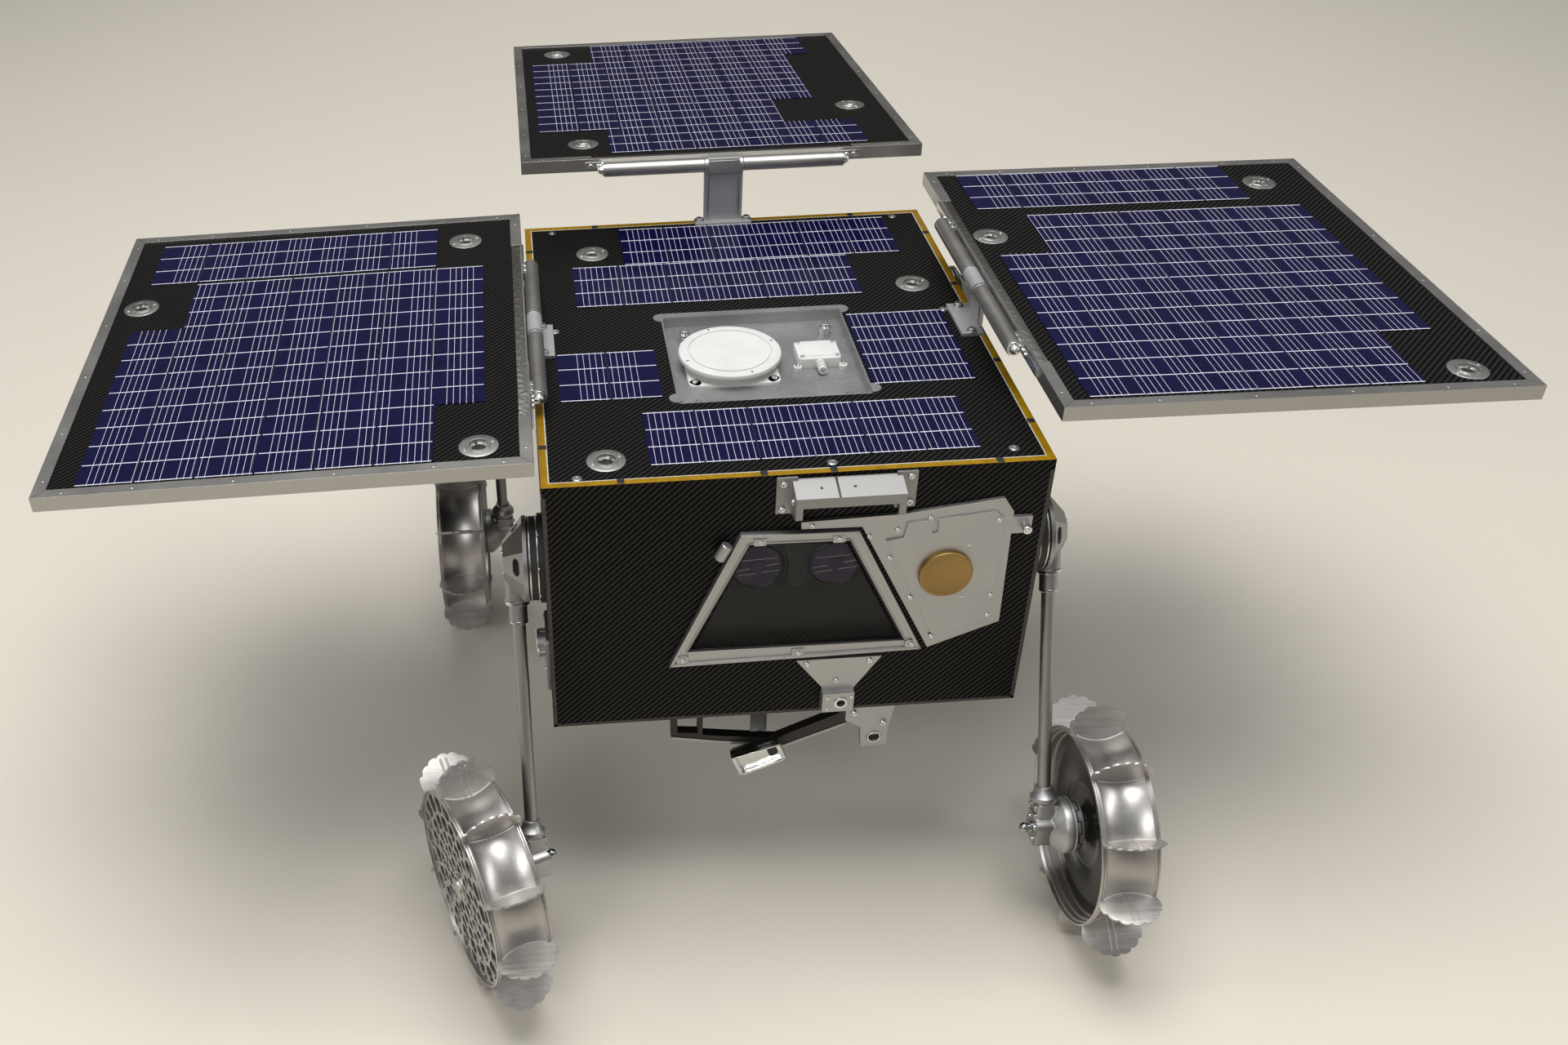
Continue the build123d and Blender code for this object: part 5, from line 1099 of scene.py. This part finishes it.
# Three folding panels: carbon plates edged with brushed channel, mitred at the
# corners and riveted, and covered with cells. Each turns on two tubes with
# domed end nuts, held by bolted arms.
rolled = new_metal("rolled_channel", (0.47, 0.455, 0.43), 0.37, 900.0, (1.0, 1.0, 1.0), 0.03)
foil, tree, shader, coords = new_material("crumpled_foil", (0.42, 0.41, 0.38), 1.0, 0.34)
crease = node(tree, "TexVoronoi", {"feature": "DISTANCE_TO_EDGE"}, Vector=coords.outputs["Object"], Scale=130.0)
tree.links.new(node(tree, "Bump", Strength=0.8, Distance=0.0008, Height=crease.outputs[0]).outputs[0],
               shader.inputs["Normal"])
# The foil's colour darkens along its creases: painted shade
tree.links.new(mix(tree, crease.outputs[0], (0.28, 0.27, 0.24, 1.0), (0.46, 0.45, 0.42, 1.0)),
               shader.inputs["Base Color"])
edge_gap, sheet_skin, panel_sheet, corner_leg, tube_length = 6.5, 1.2, 11.0, 62.0, 210.0

# Outlines of cells: out from the inner edge and along from the starting end,
# as shares of the panel
right_cells = [
    [(0.212, 0.229), (0.918, 0.229), (0.918, 0.050), (0.212, 0.050)],
    [(0.096, 0.786), (0.203, 0.786), (0.203, 0.970), (0.921, 0.970), (0.921, 0.433), (0.801, 0.433),
     (0.801, 0.242), (0.096, 0.242)],
]
left_cells = [
    [(0.078, 0.801), (0.783, 0.801), (0.783, 0.977), (0.078, 0.977)],
    [(0.063, 0.033), (0.768, 0.033), (0.768, 0.214), (0.891, 0.214), (0.891, 0.761), (0.191, 0.761),
     (0.191, 0.584), (0.063, 0.584)],
]
back_cells = [
    [(0.044, 0.774), (0.044, 0.124), (0.210, 0.124), (0.210, 0.305), (0.395, 0.305), (0.395, 0.189),
     (0.805, 0.189), (0.805, 0.119), (0.971, 0.119), (0.971, 0.768), (0.805, 0.768), (0.805, 0.949),
     (0.215, 0.949), (0.215, 0.774)],
]
# Columns: name, way out, droop in degrees, depth of the hinge's axis, span,
# length, hinge's place from the box's edge, cells
panels = [
    ("right", (-1, 0, 0), 1.0, 5.5, box_width - 19.5, box_depth - 13.0, 3.0, right_cells),
    ("left", (1, 0, 0), 0.65, 6.4, box_width - 19.5, box_depth - 13.0, 7.0, left_cells),
    ("back", (0, 1, 0), 4.8, 8.0, box_depth, box_width, 3.0, back_cells),
]


def domed_nut():
    return turned([(0.0, 6.4), (1.6, 6.0), (3.0, 4.8), (3.7, 3.2), (3.9, 1.6), (5.4, 1.5), (5.6, 1.1), (5.6, 0.0),
                   (0.0, 0.0)], 28)


for name, way_out, droop, depth, span, length, inset, outlines in panels:
    body = "folding_" + name + "_panel"
    pivot = Vector(joints[name + "_panel_fold"]["pos_m"])
    way_out = Vector(way_out)
    tilt = math.radians(droop)
    run = way_out * math.cos(tilt) - Vector((0, 0, math.sin(tilt)))
    rise = way_out * math.sin(tilt) + Vector((0, 0, math.cos(tilt)))
    along = rise.cross(run)
    corner_at = pivot - along * length / 2000 + run * edge_gap / 1000 + rise * depth / 1000
    panel_place = facing(corner_at, rise, run, 0.001)
    finish_nodes(rolled, name + "_panel_frame")

    # Printed lines and seams, along the rover on every panel
    lines, seams = bmesh.new(), bmesh.new()
    for outline in outlines:
        if name == "back":
            outline = [((1 - y) * length, x * span) for x, y in outline]
        else:
            outline = [(x * span, y * length) for x, y in outline]
        cell_lines(lines, outline, 30.0, 24.0)
        cell_seams(seams, outline)
    cells_place = panel_place
    if name == "back":
        cells_place = facing(corner_at + along * length / 1000, rise, -along, 0.001)
    lines_at = cells_place @ Matrix.Translation((0, 0, -0.6))
    set_down(lines, name + "_panel_cell_lines", lines_at, silver_ink, body, "solar_cells")
    set_down(seams, name + "_panel_cell_seams", lines_at, black_and_painted_shade, body, "solar_cells")

    # Cups, let into the plate where the lid's cups come under them
    cups, bore_shades = bmesh.new(), bmesh.new()
    for across_of, back_of in cup_shares:
        if name == "right":
            spot = (across_of * box_width - inset - edge_gap, box_depth - 11.0 - back_of * box_depth)
        elif name == "left":
            spot = ((1 - across_of) * box_width - inset - edge_gap, back_of * box_depth - 2.0)
        else:
            spot = ((1 - back_of) * box_depth - inset - edge_gap, (1 - across_of) * box_width)
        join(cups, make_cup(panel_sheet - 2 * sheet_skin), Matrix.Translation((*spot, -sheet_skin)))
        join(bore_shades, cup_bore_shade(), Matrix.Translation((*spot, -sheet_skin)))
    set_down(bore_shades, name + "_panel_cup_bore_shade", panel_place, black_and_painted_shade, body, "polished_aluminium")
    set_down(cups, name + "_panel_cup_rings", panel_place, cup_alloy, body, "polished_aluminium",
             name + "_panel_cups")

    # Mitre joints and rivets of the channel, above and below
    joint_lines, rivets = bmesh.new(), bmesh.new()
    for x, y, turn_to in ((0, 0, 45), (span, 0, 135), (0, length, -45), (span, length, -135)):
        mitre = slab(0.2, 12.2, -0.14, 0.14, -0.02, 0.05)
        join(joint_lines, mitre, Matrix.Translation((x, y, 0)) @ Matrix.Rotation(math.radians(turn_to), 4, "Z"))
        x_way, y_way = (1 if x == 0 else -1), (1 if y == 0 else -1)
        for spot in ((x + 4.5 * x_way, y + 20.0 * y_way), (x + 20.0 * x_way, y + 4.5 * y_way)):
            for face in (1, -1):
                rivet = turned([(0.0, 0.28), (1.0, 0.22), (1.5, 0.0), (0.0, 0.0)], 14)
                join(rivets, rivet, facing((*spot, 0.0 if face > 0 else -panel_sheet), (0, 0, face), (1, 0, 0)))
    count = 5
    for step in range(1, count):
        for spot in ((span * step / count, 4.5), (span * step / count, length - 4.5),
                     (span - 4.5, length * step / count)):
            for face in (1, -1):
                rivet = turned([(0.0, 0.28), (1.0, 0.22), (1.5, 0.0), (0.0, 0.0)], 14)
                join(rivets, rivet, facing((*spot, 0.0 if face > 0 else -panel_sheet), (0, 0, face), (1, 0, 0)))
    set_down(joint_lines, name + "_panel_mitres", panel_place, black_and_painted_shade, body, "satin_aluminium")
    set_down(rivets, name + "_panel_rivets", panel_place, rolled, body, "satin_aluminium")

    # Crumpled foil tape over the plate's bare edge between the channel's ends
    tape_strip = bmesh.new()
    join(tape_strip, slab(1.5, 8.6, corner_leg + 1.0, length - corner_leg - 1.0, -1.3, -1.0, edge=0.1))
    join(tape_strip, slab(1.25, 1.55, corner_leg + 1.0, length - corner_leg - 1.0, -9.8, -1.02, edge=0.05))
    set_down(tape_strip, name + "_panel_edge_foil", panel_place, foil, body, "satin_aluminium")

    # Domed nuts on the tubes' ends, bolts in the arms
    axis_place = panel_place @ facing((-edge_gap, length / 2, -depth), (0, 1, 0), (1, 0, 0))
    nuts = bmesh.new()
    for face in (1, -1):
        end = Matrix.Translation((0, 0, face * tube_length / 2))
        join(nuts, domed_nut(), end @ facing((0, 0, 0), (0, 0, face), (1, 0, 0)))
    set_down(nuts, name + "_hinge_nuts", axis_place, steel, body, "satin_aluminium")
    bolts = bmesh.new()
    tube_start = (length - tube_length) / 2
    for end, way_in in ((tube_start, 1), (length - tube_start, -1)):
        for step in (4.6, 13.0):
            head = turned([(0.0, 0.4), (1.0, 0.4), (1.0, 1.3), (2.3, 1.3), (2.7, 0.9), (2.7, 0.0), (0.0, 0.0)], 20)
            join(bolts, head, Matrix.Translation((-1.6, end + way_in * step, -depth + 3.5)))
            head = turned([(0.0, 1.6), (2.0, 1.6), (2.4, 1.2), (2.4, 0.0), (0.0, 0.0)], 6)
            join(bolts, head, facing((-1.6, end + way_in * step, -depth - 3.5), (0, 0, -1), (1, 0, 0)))
        low, high = sorted((end, end - way_in * (tube_start - corner_leg + 6.0)))
        join(bolts, slab(-1.5, -0.1, low, high, -9.4, -2.6, edge=0.3))
        for step in (4.5, 11.0):
            head = turned([(0.0, 0.5), (0.7, 0.5), (0.7, 1.3), (1.7, 1.3), (2.0, 1.0), (2.0, 0.0), (0.0, 0.0)], 18)
            join(bolts, head, facing((-1.5, end - way_in * step, -6.0), (-1, 0, 0), (0, 1, 0)))
    set_down(bolts, name + "_hinge_arm_bolts", panel_place, steel, body, "satin_aluminium")

# Hinge bases: feet bolted to the lid, straight uprights with pressed edge beads,
# and a middle knuckle with a collar at each end
# Columns: name, height of the axis, place inward of the upright's outer face,
# half the foot's reach, way inward
bases = [
    ("right", 14.5, -2.5, 2.5, 14.5, (1, 0, 0)), ("left", 34.0, -4.5, -2.0, 13.0, (-1, 0, 0)),
    ("back", 53.5, -2.5, 2.5, 9.0, (0, -1, 0)),
]
blasted = new_metal("blasted_alloy", (0.40, 0.40, 0.405), 0.42, 700.0, (1.0, 1.0, 1.0), 0.08)
blasted.node_tree.nodes["Principled BSDF"].inputs["Metallic"].default_value = 0.5
for name, height, near, far, reach, inward in bases:
    finish_nodes(blasted, name + "_hinge_base")
    pivot = Vector(joints[name + "_panel_fold"]["pos_m"])
    foot_place = facing((pivot.x, pivot.y, lid_top), (0, 0, 1), Vector((0, 0, 1)).cross(Vector(inward)) * -1, 0.001)
    fittings = bmesh.new()
    for side_of in (-21.0, 21.0):
        seat = (near + reach) / 2
        bolt = turned([(0.0, 1.0), (1.2, 1.0), (1.2, 3.0), (2.6, 3.0), (3.0, 2.5), (3.0, 0.8), (4.2, 0.8), (4.2, 0.0),
                       (0.0, 0.0)], 24)
        join(fittings, bolt, Matrix.Translation((side_of, seat, 2.5)))
    for face in (-1, 1):
        collar = turned([(6.1, 0.0), (6.45, 0.2), (6.45, 2.6), (6.1, 2.8)], 40, closed=True)
        join(fittings, collar, facing((face * 13.8, 0, height), (face, 0, 0), (0, 1, 0)))
    if name == "back":
        join(fittings, slab(-13.6, 13.6, 1.0, 6.3, height - 5.9, height + 5.9, edge=0.6))
    if height > 20:
        for side_of in (-13.5, 13.5):
            for face, seat in ((-1, near), (1, far)):
                bead = slab(side_of - 0.9, side_of + 0.9, 4.0, height - 8.0, -0.1, 0.9, corner=0.8, edge=0.4)
                join(fittings, bead, facing((0, seat, 0), (0, face, 0), (-face, 0, 0)))
    set_down(fittings, name + "_hinge_fittings", foot_place, cup_alloy, "rover_body", "satin_aluminium")
